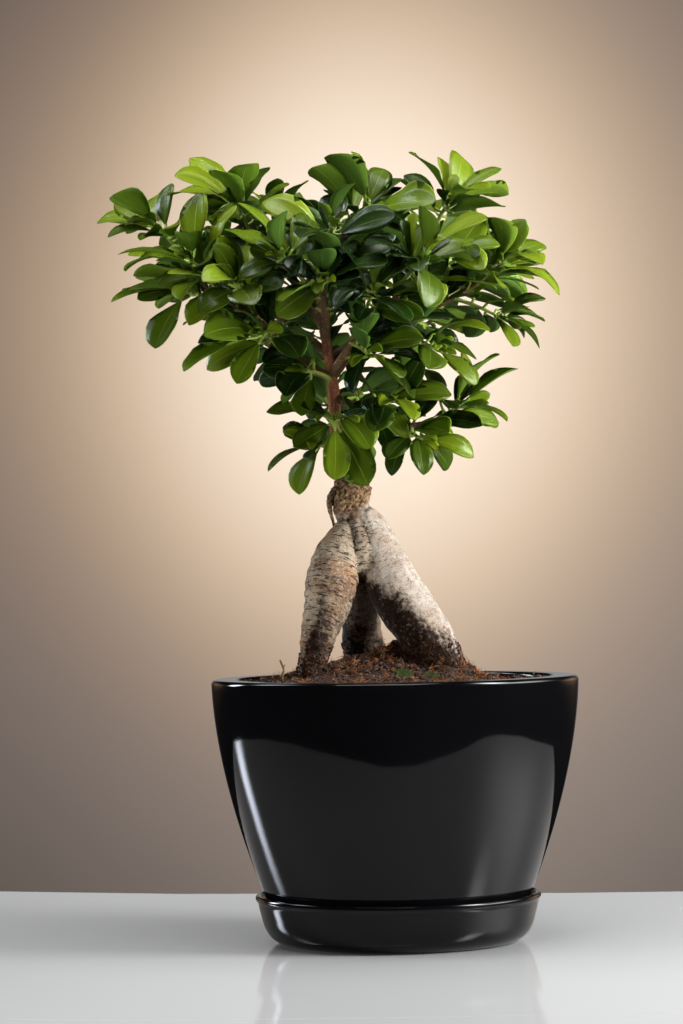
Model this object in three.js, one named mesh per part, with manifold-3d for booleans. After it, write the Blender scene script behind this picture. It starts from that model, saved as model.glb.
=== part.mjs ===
// A ginseng-fig bonsai: a grafted fig on three swollen roots, in a thick-rimmed
// glazed pot that stands in its saucer. Millimetres, +Z up. The origin is the centre
// of the saucer's underside, and the tree's front faces -Y.
//
// The living wood (roots, graft, stem and branches) is one solid. Each leafy shoot is
// a solid of its own: a green stem with its leaves fused to it, seated on its branch.

import * as THREE from "three";
import { mergeVertices } from "three/addons/utils/BufferGeometryUtils.js";
import Module from "manifold-3d";

const wasm = await Module();
wasm.setup();

// ---------------------------------------------------------------- driving sizes

const SEAT = 0.3; // gap between pieces that touch
const ROUND_SIDES = 36; // facets round the pot, the saucer and the soil

const SAUCER = { radius: 85.5, footRadius: 68, height: 29, wall: 5, floor: 6, lip: 3 };

const POT = {
  rimRadius: 110, // outside, at the rim
  footRadius: 70.5, // outside, at the bottom
  height: 151.7,
  bulge: 1.7, // power of the wall's curve: 1 is a straight cone
  rimWidth: 16.5, // the flat top of the rim
  rimEdge: 1.6, // rounding of the rim's two edges
  wall: 9,
  floor: 9,
  footRing: { width: 9, depth: 2.5 },
  drainRadius: 8,
};
const POT_BASE = SAUCER.floor + SEAT;
const RIM_Z = POT_BASE + POT.height;

const SOIL = {
  edgeZ: RIM_Z - 5,
  wallGap: 1.2, // to the pot's wall, because both are faceted
  bottomInset: 9, // clears the round of the pot's inside corner
  rings: [0.18, 0.36, 0.54, 0.76, 1], // shares of the soil's radius
  mounds: [
    { x: -14, y: 0, height: 17, spread: 36 },
    { x: 12, y: 10, height: 16, spread: 13 },
    { x: 37, y: -10, height: 9, spread: 10 },
  ],
};

// Points on the centreline of each swollen root, [x, y, z, radius], from the neck down.
const ROOTS = {
  left: [
    [-24, 0, 262, 9.5], [-27, -3, 248, 10.5], [-32, -7, 234, 14], [-36, -12, 218, 15.6],
    [-40, -17, 199, 13.6], [-46, -21, 180, 9.8], [-51, -25, 161, 7], [-55, -28, 138, 3.5],
  ],
  right: [
    [-24, 0, 262, 9.5], [-16, 0, 248, 12], [-9, -2, 233, 14.6], [0, -5, 214, 16.2],
    [11, -8, 195, 16.4], [23, -10, 177, 14.6], [34, -12, 160, 10], [44, -14, 138, 5],
  ],
  back: [
    [-24, 2, 256, 9], [-23, 9, 226, 9.5], [-20, 16, 208, 10.4], [-19, 21, 190, 11.8],
    [-18, 25, 173, 12.2], [-17, 28, 156, 9], [-16, 31, 136, 4.5],
  ],
  fork: [[-24, 0, 262, 9.5], [-21, -2, 242, 10], [-20, -3, 227, 8], [-19, -2, 215, 4]],
};
// The graft: a knob of rough bark with a curl of dead bark down its left side.
const GRAFT = [
  [-25, 0, 250, 8.5], [-24.5, 0, 258, 10.6], [-24, 0, 265, 11.4], [-25, 0, 272, 10.4], [-27, 0, 278, 7],
];
const CURL = [[-31, -4, 272, 3.4], [-36, -5, 266, 3], [-36.5, -5, 259, 2], [-33.5, -5, 250, 1]];
const ROOT_LUMP = 0.05; // share by which a root's radius swells and sinks round it

// Woody branches: a path from the thick end, with the radius at both ends.
const BRANCHES = {
  stem: {
    radii: [4.4, 1.7],
    path: [[-27, 0, 268], [-32, 0, 301], [-35, 0, 343], [-40, 2, 378], [-37, 4, 404], [-26, -8, 424]],
  },
  left: {
    radii: [3.1, 1.5],
    path: [[-35, 0, 338], [-57, -4, 349], [-78, -6, 363], [-104, -4, 384], [-122, -6, 410]],
  },
  right: {
    radii: [3.1, 1.5],
    path: [[-35, 0, 338], [-22, -4, 353], [2, -10, 367], [30, -13, 380], [52, -18, 391]],
  },
  lowRight: { radii: [2.6, 1.5], path: [[-33, 0, 326], [-16, -12, 318], [2, -18, 308], [24, -17, 309]] },
  topLeft: { radii: [2.8, 1.5], path: [[-39, 1, 368], [-54, -3, 393], [-68, -9, 407], [-80, -15, 419]] },
  topRight: { radii: [2.6, 1.5], path: [[-6, -8, 362], [6, -10, 388], [18, -15, 406], [27, -20, 423]] },
  front: { radii: [2.8, 1.5], path: [[-38, 1, 362], [-38, -20, 378], [-40, -42, 386], [-50, -60, 391]] },
  frontRight: { radii: [2.4, 1.5], path: [[-6, -9, 362], [2, -28, 374], [5, -58, 386]] },
  frontLow: { radii: [2.4, 1.5], path: [[-35, 0, 340], [-28, -22, 350], [-16, -56, 368]] },
  frontLeft: { radii: [2.2, 1.5], path: [[-64, -5, 353], [-76, -30, 370], [-98, -42, 384]] },
  backLeft: { radii: [3, 1.5], path: [[-37, 0, 352], [-54, 20, 368], [-74, 38, 384], [-96, 50, 398]] },
  backRight: { radii: [3, 1.5], path: [[-36, 0, 350], [-14, 20, 364], [10, 38, 380], [36, 50, 394]] },
  back: { radii: [2.8, 1.5], path: [[-39, 1, 366], [-38, 26, 386], [-36, 52, 400], [-34, 70, 408]] },
  backLow: { radii: [2.4, 1.5], path: [[-33, 0, 318], [-36, 22, 322], [-38, 44, 326]] },
};

// Leafy shoots: the branch and the share along it that a shoot leaves from, its tip,
// its count of leaves, and the tips of the leaves that stand out in the front view.
const SHOOTS = [
  {
    name: "far_left", on: "left", at: 1, to: [-137, -12, 429], leaves: 8, size: 1,
    tips: [[-162, -40, 447], [-175, 0, 436], [-138, 20, 456], [-163, 12, 444], [-147, -30, 422]],
  },
  {
    name: "left", on: "frontLeft", at: 1, to: [-115, -62, 404], leaves: 7, size: 1,
    tips: [[-118, -92, 418], [-110, -50, 445], [-158, -60, 411], [-157, -24, 406]],
  },
  {
    name: "low_left", on: "left", at: 0.72, to: [-124, -8, 391], leaves: 7, size: 1,
    tips: [[-165, -22, 386], [-151, 12, 403], [-139, -34, 355], [-153, -44, 392]],
  },
  {
    name: "left_dark", on: "left", at: 0.3, to: [-75, -62, 360], leaves: 6, size: 1,
    tips: [[-120, -84, 342], [-90, -62, 332], [-106, -96, 362]],
  },
  {
    name: "left_mid", on: "frontLeft", at: 0.6, to: [-88, -76, 388], leaves: 7, size: 1,
    tips: [[-106, -104, 391], [-80, -110, 376]],
  },
  {
    name: "stem_left", on: "stem", at: 0.42, to: [-50, -36, 340], leaves: 6, size: 1,
    tips: [[-62, -76, 326], [-79, -18, 336], [-53, -62, 314]],
  },
  {
    name: "foot_left", on: "stem", at: 0.17, to: [-46, -22, 296], leaves: 4, size: 0.85,
    tips: [[-73, -36, 283], [-64, -10, 304], [-56, -30, 268]],
  },
  {
    name: "foot_front", on: "stem", at: 0.26, to: [-34, -34, 311], leaves: 5, size: 1,
    tips: [[-35, -50, 276], [-13, -36, 273], [-12, -62, 293]],
  },
  {
    name: "foot_mid", on: "lowRight", at: 0.35, to: [0, -52, 321], leaves: 6, size: 0.85,
    tips: [[12, -84, 308], [-12, -80, 303]],
  },
  {
    name: "foot_right", on: "lowRight", at: 0.66, to: [17, -40, 299], leaves: 7, size: 0.75,
    tips: [[48, -46, 289], [34, -28, 281], [17, -64, 279], [-1, -42, 278], [33, -66, 303]],
  },
  {
    name: "low_right", on: "lowRight", at: 1, to: [41, -22, 318], leaves: 7, size: 0.75,
    tips: [[75, -16, 343], [68, -40, 309], [62, -44, 349], [46, -50, 352]],
  },
  {
    name: "right", on: "right", at: 1, to: [68, -30, 402], leaves: 8, size: 0.9,
    tips: [[102, -30, 385], [64, -56, 427], [94, -10, 418], [88, -62, 401], [80, -30, 429]],
  },
  {
    name: "right_low", on: "right", at: 0.84, to: [68, -8, 371], leaves: 7, size: 0.8,
    tips: [[81, -44, 364], [90, -12, 353], [72, -36, 353], [94, 4, 372]],
  },
  {
    name: "right_mid", on: "frontRight", at: 0.5, to: [40, -60, 403], leaves: 7, size: 0.9,
    tips: [[53, -92, 395], [64, -60, 413], [56, -50, 429]],
  },
  {
    name: "top_right", on: "topRight", at: 1, to: [36, -24, 440], leaves: 9, size: 0.9,
    tips: [
      [15, -52, 467], [46, 8, 472], [68, -28, 459], [72, 4, 448], [32, -14, 469], [56, -58, 446],
      [8, -14, 455],
    ],
  },
  {
    name: "front_right", on: "frontRight", at: 1, to: [19, -84, 399], leaves: 8, size: 1,
    tips: [[20, -108, 429], [55, -96, 425], [19, -120, 372], [-13, -100, 411]],
  },
  {
    name: "top_mid", on: "stem", at: 1, to: [-10, -28, 436], leaves: 9, size: 1,
    tips: [[-34, -58, 466], [-20, -34, 470], [-2, -14, 464], [25, -62, 438], [8, -36, 457], [-10, -62, 462]],
  },
  {
    name: "top_left", on: "topLeft", at: 1, to: [-89, -24, 440], leaves: 9, size: 0.9,
    tips: [[-116, -20, 470], [-83, -54, 463], [-131, 0, 452], [-123, -40, 458], [-101, -60, 457]],
  },
  {
    name: "top_back_left", on: "topLeft", at: 0.6, to: [-68, 14, 436], leaves: 6, size: 0.9,
    tips: [[-66, 2, 459], [-84, 40, 459]],
  },
  {
    name: "front_left", on: "front", at: 1, to: [-62, -88, 402], leaves: 8, size: 1,
    tips: [[-63, -112, 427], [-99, -112, 411], [-44, -84, 430]],
  },
  {
    name: "top_front", on: "front", at: 0.55, to: [-33, -66, 422], leaves: 7, size: 1,
    tips: [[-21, -84, 445], [-51, -100, 415]],
  },
  {
    name: "centre", on: "front", at: 0.72, to: [-38, -84, 388], leaves: 6, size: 1,
    tips: [[-41, -114, 407], [-61, -116, 376]],
  },
  {
    name: "centre_right", on: "frontLow", at: 1, to: [-10, -86, 382], leaves: 7, size: 1,
    tips: [[-34, -114, 374], [9, -112, 366]],
  },
  {
    name: "low_mid", on: "frontLow", at: 0.6, to: [-13, -72, 346], leaves: 6, size: 0.9,
    tips: [[6, -92, 333], [-24, -98, 326]],
  },
  {
    name: "low_mid_right", on: "right", at: 0.42, to: [25, -56, 351], leaves: 7, size: 0.9,
    tips: [[51, -68, 331], [23, -92, 338]],
  },
  {
    name: "right_back", on: "right", at: 0.72, to: [56, 16, 396], leaves: 7, size: 0.9,
    tips: [[92, 28, 392]],
  },
  {
    name: "back_right_end", on: "backRight", at: 1, to: [56, 62, 402], leaves: 7, size: 0.95,
    tips: [[84, 74, 396]],
  },
  {
    name: "back_right_top", on: "backRight", at: 0.72, to: [32, 42, 424], leaves: 7, size: 0.95,
    tips: [[54, 34, 444]],
  },
  {
    name: "back_right_low", on: "backRight", at: 0.6, to: [22, 66, 374], leaves: 7, size: 0.95,
    tips: [[40, 96, 362]],
  },
  {
    name: "back_end", on: "back", at: 1, to: [-30, 92, 414], leaves: 7, size: 1,
    tips: [[-28, 122, 404]],
  },
  {
    name: "back_high_left", on: "back", at: 0.66, to: [-58, 66, 426], leaves: 7, size: 0.9,
    tips: [[-66, 84, 450]],
  },
  {
    name: "back_high_right", on: "back", at: 0.75, to: [-8, 68, 428], leaves: 7, size: 0.95,
    tips: [[4, 92, 446]],
  },
  {
    name: "back_top", on: "stem", at: 0.88, to: [-30, 30, 438], leaves: 7, size: 0.9,
    tips: [[-16, 40, 462]],
  },
  {
    name: "back_left_end", on: "backLeft", at: 1, to: [-120, 60, 408], leaves: 7, size: 0.95,
    tips: [[-148, 68, 404]],
  },
  {
    name: "back_left_top", on: "backLeft", at: 0.78, to: [-98, 44, 428], leaves: 6, size: 0.85,
    tips: [[-120, 60, 446]],
  },
  {
    name: "back_left_low", on: "backLeft", at: 0.62, to: [-76, 68, 380], leaves: 7, size: 0.95,
    tips: [[-90, 98, 372]],
  },
  {
    name: "left_back", on: "left", at: 0.6, to: [-110, 26, 402], leaves: 6, size: 0.8,
    tips: [[-144, 38, 409], [-138, 46, 398]],
  },
  {
    name: "back_low_end", on: "backLow", at: 1, to: [-36, 66, 338], leaves: 7, size: 0.9,
    tips: [[-38, 96, 326]],
  },
  {
    name: "back_low_right", on: "backLow", at: 0.6, to: [-8, 44, 330], leaves: 6, size: 0.9,
    tips: [[14, 60, 320]],
  },
  {
    name: "back_low_left", on: "backLow", at: 0.7, to: [-58, 42, 342], leaves: 6, size: 0.8,
    tips: [[-78, 56, 345], [-65, 50, 326]],
  },
  {
    name: "back_foot", on: "stem", at: 0.22, to: [-24, 26, 304], leaves: 5, size: 0.85,
    tips: [[-10, 46, 290]],
  },
];

const STEM = {
  rise: 0.08, // bend upwards at the middle, over its length
  baseRadius: 1.6,
  tipRadius: 1.15,
  leafy: [0.97, 0.38], // where its youngest and its oldest leaf sit
  sides: 5,
  steps: 3,
};
const LEAF = {
  reach: 45, // from the stem to the leaf's tip
  petioleShare: 0.17,
  petioleRadius: 0.6,
  widthShare: 0.23, // half the blade's width over its reach
  mostHalfWidth: 12,
  thickness: 1.3, // along the midrib; the blade thins to its edge
  sections: [[0.46, 1], [0.8, 0.74]], // [share along the leaf, share of the half width]
  turn: (137.5 * Math.PI) / 180, // from each leaf to the next round its stem
  spread: [0.6, 1.35], // angle between leaf and stem, at the shoot's tip and at its base
  level: 0.5, // how much of a leaf's own slope is left, since leaves lie level
  lift: 0.14, // how far leaves turn up to the light
  youngest: 0.78, // length of the leaf at the tip over that of a grown one
  clearance: 0.4, // kept from the leaves of the other shoots
  freeFrom: 0.14, // share of its reach from which a leaf also keeps off its own shoot's leaves
};
// Each further try to clear a leaf turns it round its stem, rolls it, shifts the tip of a
// leaf with a given tip towards the front or back, and shortens any other.
const TRIES = { count: 15, turn: 0.3, roll: 0.12, shift: 5, shorten: 0.95 };
const SEED = { first: 1000, perShoot: 77 };
// Leaves face up, away from the crown's heart, and to the front or back, in these parts.
const FACING = { heart: [-35, 0, 370], up: 0.8, away: 0.42, frontOrBack: 0.3 };
// No leaf hangs in this space, so that the stem shows between the leaves at the front.
const STEM_VIEW = { from: [-43, -130, 318], to: [-28, -8, 372] };

// ---------------------------------------------------------------- small tools

const vector = ([x, y, z]) => new THREE.Vector3(x, y, z);

// Seeded draws: a linear congruential generator, exact in whole numbers.
function dice(seed) {
  let state = seed;
  return (low, high) => {
    state = (state * 1664525 + 1013904223) % 4294967296;
    return low + ((high - low) * state) / 4294967296;
  };
}

function solidOf(geometry) {
  const bare = geometry.clone();
  for (const name of Object.keys(bare.attributes)) {
    if (name !== "position") bare.deleteAttribute(name);
  }
  const merged = mergeVertices(bare, 1e-4);
  return new wasm.Manifold(
    new wasm.Mesh({
      numProp: 3,
      vertProperties: new Float32Array(merged.attributes.position.array),
      triVerts: new Uint32Array(merged.index.array),
    }),
  );
}

function geometryOf(solid) {
  const mesh = solid.getMesh();
  const flat = new THREE.BufferGeometry();
  flat.setAttribute("position", new THREE.BufferAttribute(mesh.vertProperties, 3));
  flat.setIndex(new THREE.BufferAttribute(mesh.triVerts, 1));
  flat.computeVertexNormals();
  return flat;
}

const fuse = (solids) => solids.reduce((whole, piece) => whole.add(piece));

// The largest body of a solid that a cut may have left in several.
function mainBody(solid) {
  return solid.decompose().reduce((best, body) => (body.volume() > best.volume() ? body : best));
}

// A solid of revolution about Z from [radius, height] pairs, listed so that faces point out.
function turned(profile) {
  const points = profile.map(([radius, height]) => new THREE.Vector2(radius, height));
  return new THREE.LatheGeometry(points, ROUND_SIDES).rotateX(Math.PI / 2);
}

// A closed tube along a curve: a unit cylinder whose rings follow the curve's frames.
function tube(curve, radiusAt, sides, steps) {
  const frames = curve.computeFrenetFrames(steps, false);
  const geometry = new THREE.CylinderGeometry(1, 1, 1, sides, steps);
  const place = geometry.attributes.position;
  const point = new THREE.Vector3();
  for (let i = 0; i < place.count; i++) {
    const share = 0.5 - place.getY(i);
    const ring = Math.round(share * steps);
    const radius = radiusAt(share, Math.atan2(place.getX(i), place.getZ(i)));
    point.copy(curve.getPointAt(Math.min(share, 1)));
    point.addScaledVector(frames.normals[ring], place.getX(i) * radius);
    point.addScaledVector(frames.binormals[ring], place.getZ(i) * radius);
    place.setXYZ(i, point.x, point.y, point.z);
  }
  return geometry;
}

const curveThrough = (points) => new THREE.CatmullRomCurve3(points.map(vector));

// The value at a share of the way along evenly spread numbers.
function along(values, share) {
  const place = share * (values.length - 1);
  const low = Math.min(Math.floor(place), values.length - 2);
  return THREE.MathUtils.lerp(values[low], values[low + 1], place - low);
}

// ---------------------------------------------------------------- pot, saucer and soil

// The outside radius of the pot at a height above its own foot.
function potRadius(height) {
  const depth = (POT.height - height) / POT.height;
  return POT.rimRadius - (POT.rimRadius - POT.footRadius) * depth ** POT.bulge;
}

const innerRimRadius = POT.rimRadius - POT.rimWidth;
const potInnerRadius = (height) => Math.min(innerRimRadius, potRadius(height) - POT.wall);

function potGeometry() {
  const { height, rimEdge, floor, footRing, drainRadius, footRadius } = POT;
  const outside = [0, 0.22, 0.44, 0.66, 0.85].map((share) => {
    const z = share * (height - 2 * rimEdge);
    return [potRadius(z), z];
  });
  const rim = [
    [POT.rimRadius, height - rimEdge],
    [POT.rimRadius - rimEdge * 0.7, height - rimEdge * 0.3],
    [POT.rimRadius - rimEdge * 1.6, height],
    [innerRimRadius + rimEdge * 1.6, height],
    [innerRimRadius, height - rimEdge],
  ];
  const inside = [0.7, 0.38].map((share) => [potInnerRadius(share * height), share * height]);
  const corner = [
    [potInnerRadius(floor * 1.6) - 1, floor * 1.6],
    [potInnerRadius(floor) - 6, floor],
  ];
  const underside = [
    [drainRadius, floor],
    [drainRadius, footRing.depth],
    [footRadius - footRing.width - 2, footRing.depth],
    [footRadius - footRing.width, 0],
  ];
  const profile = [...outside, ...rim, ...inside, ...corner, ...underside];
  return turned([...profile, profile[0]]);
}

function saucerGeometry() {
  const { radius, footRadius, height, wall, floor, lip } = SAUCER;
  return turned([
    [0, 0],
    [footRadius, 0],
    [radius - 9.5, 3.5],
    [radius - 3, 10.5],
    [radius, 20],
    [radius - 0.4, height - lip * 1.5],
    [radius - lip * 0.9, height - lip * 0.3],
    [radius - lip * 1.3, height],
    [radius - wall, height - lip * 0.6],
    [radius - wall - 1, height - lip * 2.6],
    [radius - wall - 6, floor + 2],
    [radius - wall - 9, floor],
    [0, floor],
  ]);
}

function soilHeight(x, y) {
  const rise = (m) => m.height * Math.exp(-((x - m.x) ** 2 + (y - m.y) ** 2) / (2 * m.spread ** 2));
  return SOIL.edgeZ + SOIL.mounds.reduce((sum, m) => sum + rise(m), 0);
}

// The soil fills the pot. Its top is mounded, and the roots stand in plain holes in it.
function soilSolid(wood) {
  const wallAt = (height) => potInnerRadius(height) - SOIL.wallGap;
  const floor = POT.floor + SEAT;
  const sides = [0.2, 0.45, 0.72].map((share) => [wallAt(share * POT.height), POT_BASE + share * POT.height]);
  const topRadius = wallAt(SOIL.edgeZ - POT_BASE);
  const geometry = turned([
    [0, POT_BASE + floor],
    [wallAt(floor) - SOIL.bottomInset, POT_BASE + floor],
    ...sides,
    ...SOIL.rings.map((share) => [share * topRadius, SOIL.edgeZ]).reverse(),
    [0, SOIL.edgeZ],
  ]);
  const place = geometry.attributes.position;
  for (let i = 0; i < place.count; i++) {
    if (place.getZ(i) > SOIL.edgeZ - 0.01) {
      place.setZ(i, soilHeight(place.getX(i), place.getY(i)));
    }
  }
  return mainBody(solidOf(geometry).subtract(wood));
}

// ---------------------------------------------------------------- living wood

// A tuber, swollen by `grow`: a tube whose radius follows its stations, with low lumps.
function tuber(stations, grow, sides, steps) {
  const curve = curveThrough(stations);
  const radii = stations.map((station) => station[3]);
  const lump = (share, angle) => 1 + ROOT_LUMP * Math.sin(2 * angle + 9 * share) * Math.sin(Math.PI * share);
  return solidOf(tube(curve, (t, angle) => along(radii, t) * lump(t, angle) + grow, sides, steps));
}

function branchSolid({ path, radii }, grow) {
  const radiusAt = (share) => THREE.MathUtils.lerp(radii[0], radii[1], share) + grow;
  return solidOf(tube(curveThrough(path), radiusAt, 5, path.length));
}

function woodSolid(grow) {
  const roots = Object.values(ROOTS).map((stations) => tuber(stations, grow, 10, 8));
  const graft = [tuber(GRAFT, grow, 9, 4), tuber(CURL, grow, 4, 4)];
  const branches = Object.values(BRANCHES).map((branch) => branchSolid(branch, grow));
  return fuse([...roots, ...graft, ...branches]);
}

// ---------------------------------------------------------------- leafy shoots

// A shoot's stem: it leaves its branch, bends up a little and ends at its tip.
function shootCurve(shoot) {
  const start = curveThrough(BRANCHES[shoot.on].path).getPointAt(shoot.at);
  const end = vector(shoot.to);
  const middle = start.clone().lerp(end, 0.5);
  middle.z += STEM.rise * start.distanceTo(end);
  return new THREE.QuadraticBezierCurve3(start, middle, end);
}

// Every leaf of a shoot, counted from its tip, as draws and sizes: no shape yet.
function leafPlans(shoot, index) {
  const draw = dice(SEED.first + SEED.perShoot * index);
  const between = ([tip, base], i) => THREE.MathUtils.lerp(tip, base, i / (shoot.leaves - 1));
  const firstTurn = draw(0, 2 * Math.PI);
  return Array.from({ length: shoot.leaves }, (_, i) => ({
    share: between(STEM.leafy, i),
    turn: firstTurn + i * LEAF.turn + draw(-0.25, 0.25),
    spread: between(LEAF.spread, i) + draw(-0.12, 0.12),
    reach: LEAF.reach * shoot.size * (i ? 1 : LEAF.youngest) * draw(0.86, 1.12),
    roll: draw(-0.6, 0.6),
    arch: draw(0.02, 0.13),
    tip: shoot.tips[i] ? vector(shoot.tips[i]) : null,
  }));
}

// The n-th way to set a planned leaf: its base, its tip and the way its face looks.
function leafPose(curve, plan, attempt) {
  const base = curve.getPoint(plan.share);
  const heading = curve.getTangent(plan.share);
  const step = Math.ceil(attempt / 2) * (attempt % 2 ? 1 : -1);
  let tip;
  if (plan.tip) {
    tip = plan.tip.clone();
    tip.y += TRIES.shift * step;
  } else {
    const side = new THREE.Vector3(0, 0, 1).cross(heading).normalize();
    const other = heading.clone().cross(side);
    const angle = plan.turn + TRIES.turn * step;
    const out = side.multiplyScalar(Math.cos(angle)).addScaledVector(other, Math.sin(angle));
    out.multiplyScalar(Math.sin(plan.spread)).addScaledVector(heading, Math.cos(plan.spread));
    out.z = LEAF.level * out.z + LEAF.lift;
    tip = base.clone().addScaledVector(out.normalize(), plan.reach * TRIES.shorten ** Math.abs(step));
  }
  const chord = tip.clone().sub(base).normalize();
  const away = tip.clone().sub(vector(FACING.heart)).normalize();
  const face = new THREE.Vector3(0, FACING.frontOrBack * Math.sign(tip.y), FACING.up);
  face.addScaledVector(away, FACING.away);
  face.addScaledVector(chord, -face.dot(chord)).normalize();
  face.applyAxisAngle(chord, plan.roll + TRIES.roll * step);
  return { base, tip, chord, face };
}

// A leaf as one closed blade: three-cornered sections along an arched midrib, from the
// petiole's end in the stem to a pointed tip. `extra` swells it, and `from` is the share
// of its reach at which it starts.
function leafSolid({ base, tip, chord, face }, plan, extra = 0, from = 0) {
  const reach = base.distanceTo(tip);
  const across = face.clone().cross(chord);
  const halfWidth = Math.min(LEAF.widthShare * reach, LEAF.mostHalfWidth);
  const sections = [
    { share: from, wide: LEAF.petioleRadius, thick: LEAF.petioleRadius },
    { share: LEAF.petioleShare, wide: LEAF.petioleRadius, thick: LEAF.petioleRadius },
    ...LEAF.sections.map(([share, width]) => ({ share, wide: width * halfWidth, thick: LEAF.thickness / 2 })),
  ];
  const corners = sections.flatMap(({ share, wide, thick }) => {
    const middle = base.clone().addScaledVector(chord, share * reach);
    middle.addScaledVector(face, 4 * plan.arch * reach * share * (1 - share));
    const under = middle.clone().addScaledVector(face, -thick - extra);
    middle.addScaledVector(face, thick + extra);
    const side = across.clone().multiplyScalar(wide + extra);
    return [middle.clone().add(side), under, middle.clone().sub(side)];
  });
  corners.push(tip.clone().addScaledVector(chord, extra));
  return solidOf(lofted(corners, 3));
}

// A closed geometry from rings of corners and one last point.
function lofted(corners, sides) {
  const rings = (corners.length - 1) / sides;
  const faces = [];
  for (let k = 1; k < sides - 1; k++) {
    faces.push([0, k, k + 1]);
  }
  for (let ring = 0; ring < rings; ring++) {
    for (let k = 0; k < sides; k++) {
      const a = sides * ring + k;
      const b = sides * ring + ((k + 1) % sides);
      if (ring === rings - 1) {
        faces.push([a, corners.length - 1, b]);
      } else {
        faces.push([a, a + sides, b + sides], [a, b + sides, b]);
      }
    }
  }
  const geometry = new THREE.BufferGeometry().setFromPoints(corners);
  return geometry.setIndex(faces.flat());
}

function boxSolid({ from, to }) {
  return wasm.Manifold.cube(to.map((value, k) => value - from[k])).translate(from);
}

const withBox = (solid) => ({ solid, box: solid.boundingBox() });
const boxesMeet = (a, b) => [0, 1, 2].every((k) => a.min[k] < b.max[k] && b.min[k] < a.max[k]);
const meet = (a, b) => boxesMeet(a.box, b.box) && a.solid.intersect(b.solid).volume() > 0;

function stemSolid(curve, extra = 0) {
  const radiusAt = (share) => THREE.MathUtils.lerp(STEM.baseRadius, STEM.tipRadius, share) + extra;
  return solidOf(tube(curve, radiusAt, STEM.sides, STEM.steps));
}

// All shoots, each clear of the wood and of every other shoot. A leaf that would cross
// something is turned or bent step by step, and left out if no way is clear. Leaves are
// placed from the tips of all shoots inwards, so that the outermost find room first.
function shootSolids(wood) {
  const shoots = SHOOTS.map((shoot, index) => {
    const curve = shootCurve(shoot);
    const keepOff = withBox(stemSolid(curve, LEAF.clearance));
    return { curve, keepOff, plans: leafPlans(shoot, index), solids: [stemSolid(curve)], leaves: [] };
  });
  const woodBox = withBox(wood);
  const view = withBox(boxSolid(STEM_VIEW));
  const isClear = (leaf, blade, own) =>
    !meet(leaf, woodBox) &&
    !meet(leaf, view) &&
    shoots.every((other) =>
      other === own
        ? !own.leaves.some((placed) => meet(blade, placed.blade))
        : !meet(leaf, other.keepOff) && !other.leaves.some((placed) => meet(leaf, placed.leaf)),
    );
  const placeLeaf = (own, plan) => {
    for (let attempt = 0; attempt < TRIES.count; attempt++) {
      const pose = leafPose(own.curve, plan, attempt);
      const leaf = leafSolid(pose, plan);
      const blade = leafSolid(pose, plan, 0, LEAF.freeFrom);
      if (isClear(withBox(leaf), withBox(blade), own)) {
        own.solids.push(leaf);
        own.leaves.push({
          leaf: withBox(leafSolid(pose, plan, LEAF.clearance)),
          blade: withBox(leafSolid(pose, plan, LEAF.clearance, LEAF.freeFrom)),
        });
        return;
      }
    }
  };
  const rounds = Math.max(...SHOOTS.map((shoot) => shoot.leaves));
  for (let round = 0; round < rounds; round++) {
    shoots.filter(({ plans }) => plans[round]).forEach((own) => placeLeaf(own, own.plans[round]));
  }
  return shoots.map(({ solids }) => mainBody(fuse(solids).subtract(wood)));
}

// ---------------------------------------------------------------- the plant in its pot

const finish = (color, roughness) => new THREE.MeshStandardMaterial({ color, roughness, metalness: 0 });
const glaze = finish("#0b0b0d", 0.08);
const bark = finish("#a08c76", 0.8);
const peat = finish("#4a2f1f", 0.95);
const foliage = finish("#3f7a25", 0.4);

const bonsai = new THREE.Group();

function add(name, geometry, material, z = 0) {
  const mesh = new THREE.Mesh(geometry, material);
  mesh.name = name;
  mesh.position.z = z;
  bonsai.add(mesh);
}

const clearWood = woodSolid(SEAT);
add("saucer", saucerGeometry(), glaze);
add("pot", potGeometry(), glaze, POT_BASE);
add("soil", geometryOf(soilSolid(clearWood)), peat);
add("trunk", geometryOf(woodSolid(0)), bark);
shootSolids(clearWood).forEach((solid, s) => {
  add(`shoot_${SHOOTS[s].name}`, geometryOf(solid), foliage);
});

export default bonsai;
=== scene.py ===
"""A ginseng fig trained as a bonsai, standing in its glazed pot and saucer.

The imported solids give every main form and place; this script draws them finer and adds bark,
peat, moss, twigs and leaf blades. Tables are in millimetres, meshes in metres.
"""
import math
import random
from collections import namedtuple

import bmesh
import bpy
from mathutils import Matrix, Vector, kdtree, noise


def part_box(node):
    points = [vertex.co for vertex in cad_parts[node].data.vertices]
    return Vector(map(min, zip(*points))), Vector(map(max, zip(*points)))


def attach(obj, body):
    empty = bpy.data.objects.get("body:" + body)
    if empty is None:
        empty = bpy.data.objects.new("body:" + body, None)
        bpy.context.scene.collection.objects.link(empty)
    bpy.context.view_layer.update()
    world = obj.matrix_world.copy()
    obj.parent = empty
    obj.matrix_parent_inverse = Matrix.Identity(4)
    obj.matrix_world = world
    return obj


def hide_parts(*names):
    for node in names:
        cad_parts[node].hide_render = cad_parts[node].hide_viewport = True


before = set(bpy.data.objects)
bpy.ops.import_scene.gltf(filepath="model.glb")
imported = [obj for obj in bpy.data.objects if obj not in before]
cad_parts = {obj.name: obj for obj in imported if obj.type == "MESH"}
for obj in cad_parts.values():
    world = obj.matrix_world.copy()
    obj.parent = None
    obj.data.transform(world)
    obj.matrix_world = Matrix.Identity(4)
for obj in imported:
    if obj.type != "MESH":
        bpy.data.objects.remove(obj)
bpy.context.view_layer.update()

MM = 0.001
BODY = "root"

# ---------------------------------------------------------------- sizes, in millimetres

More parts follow.
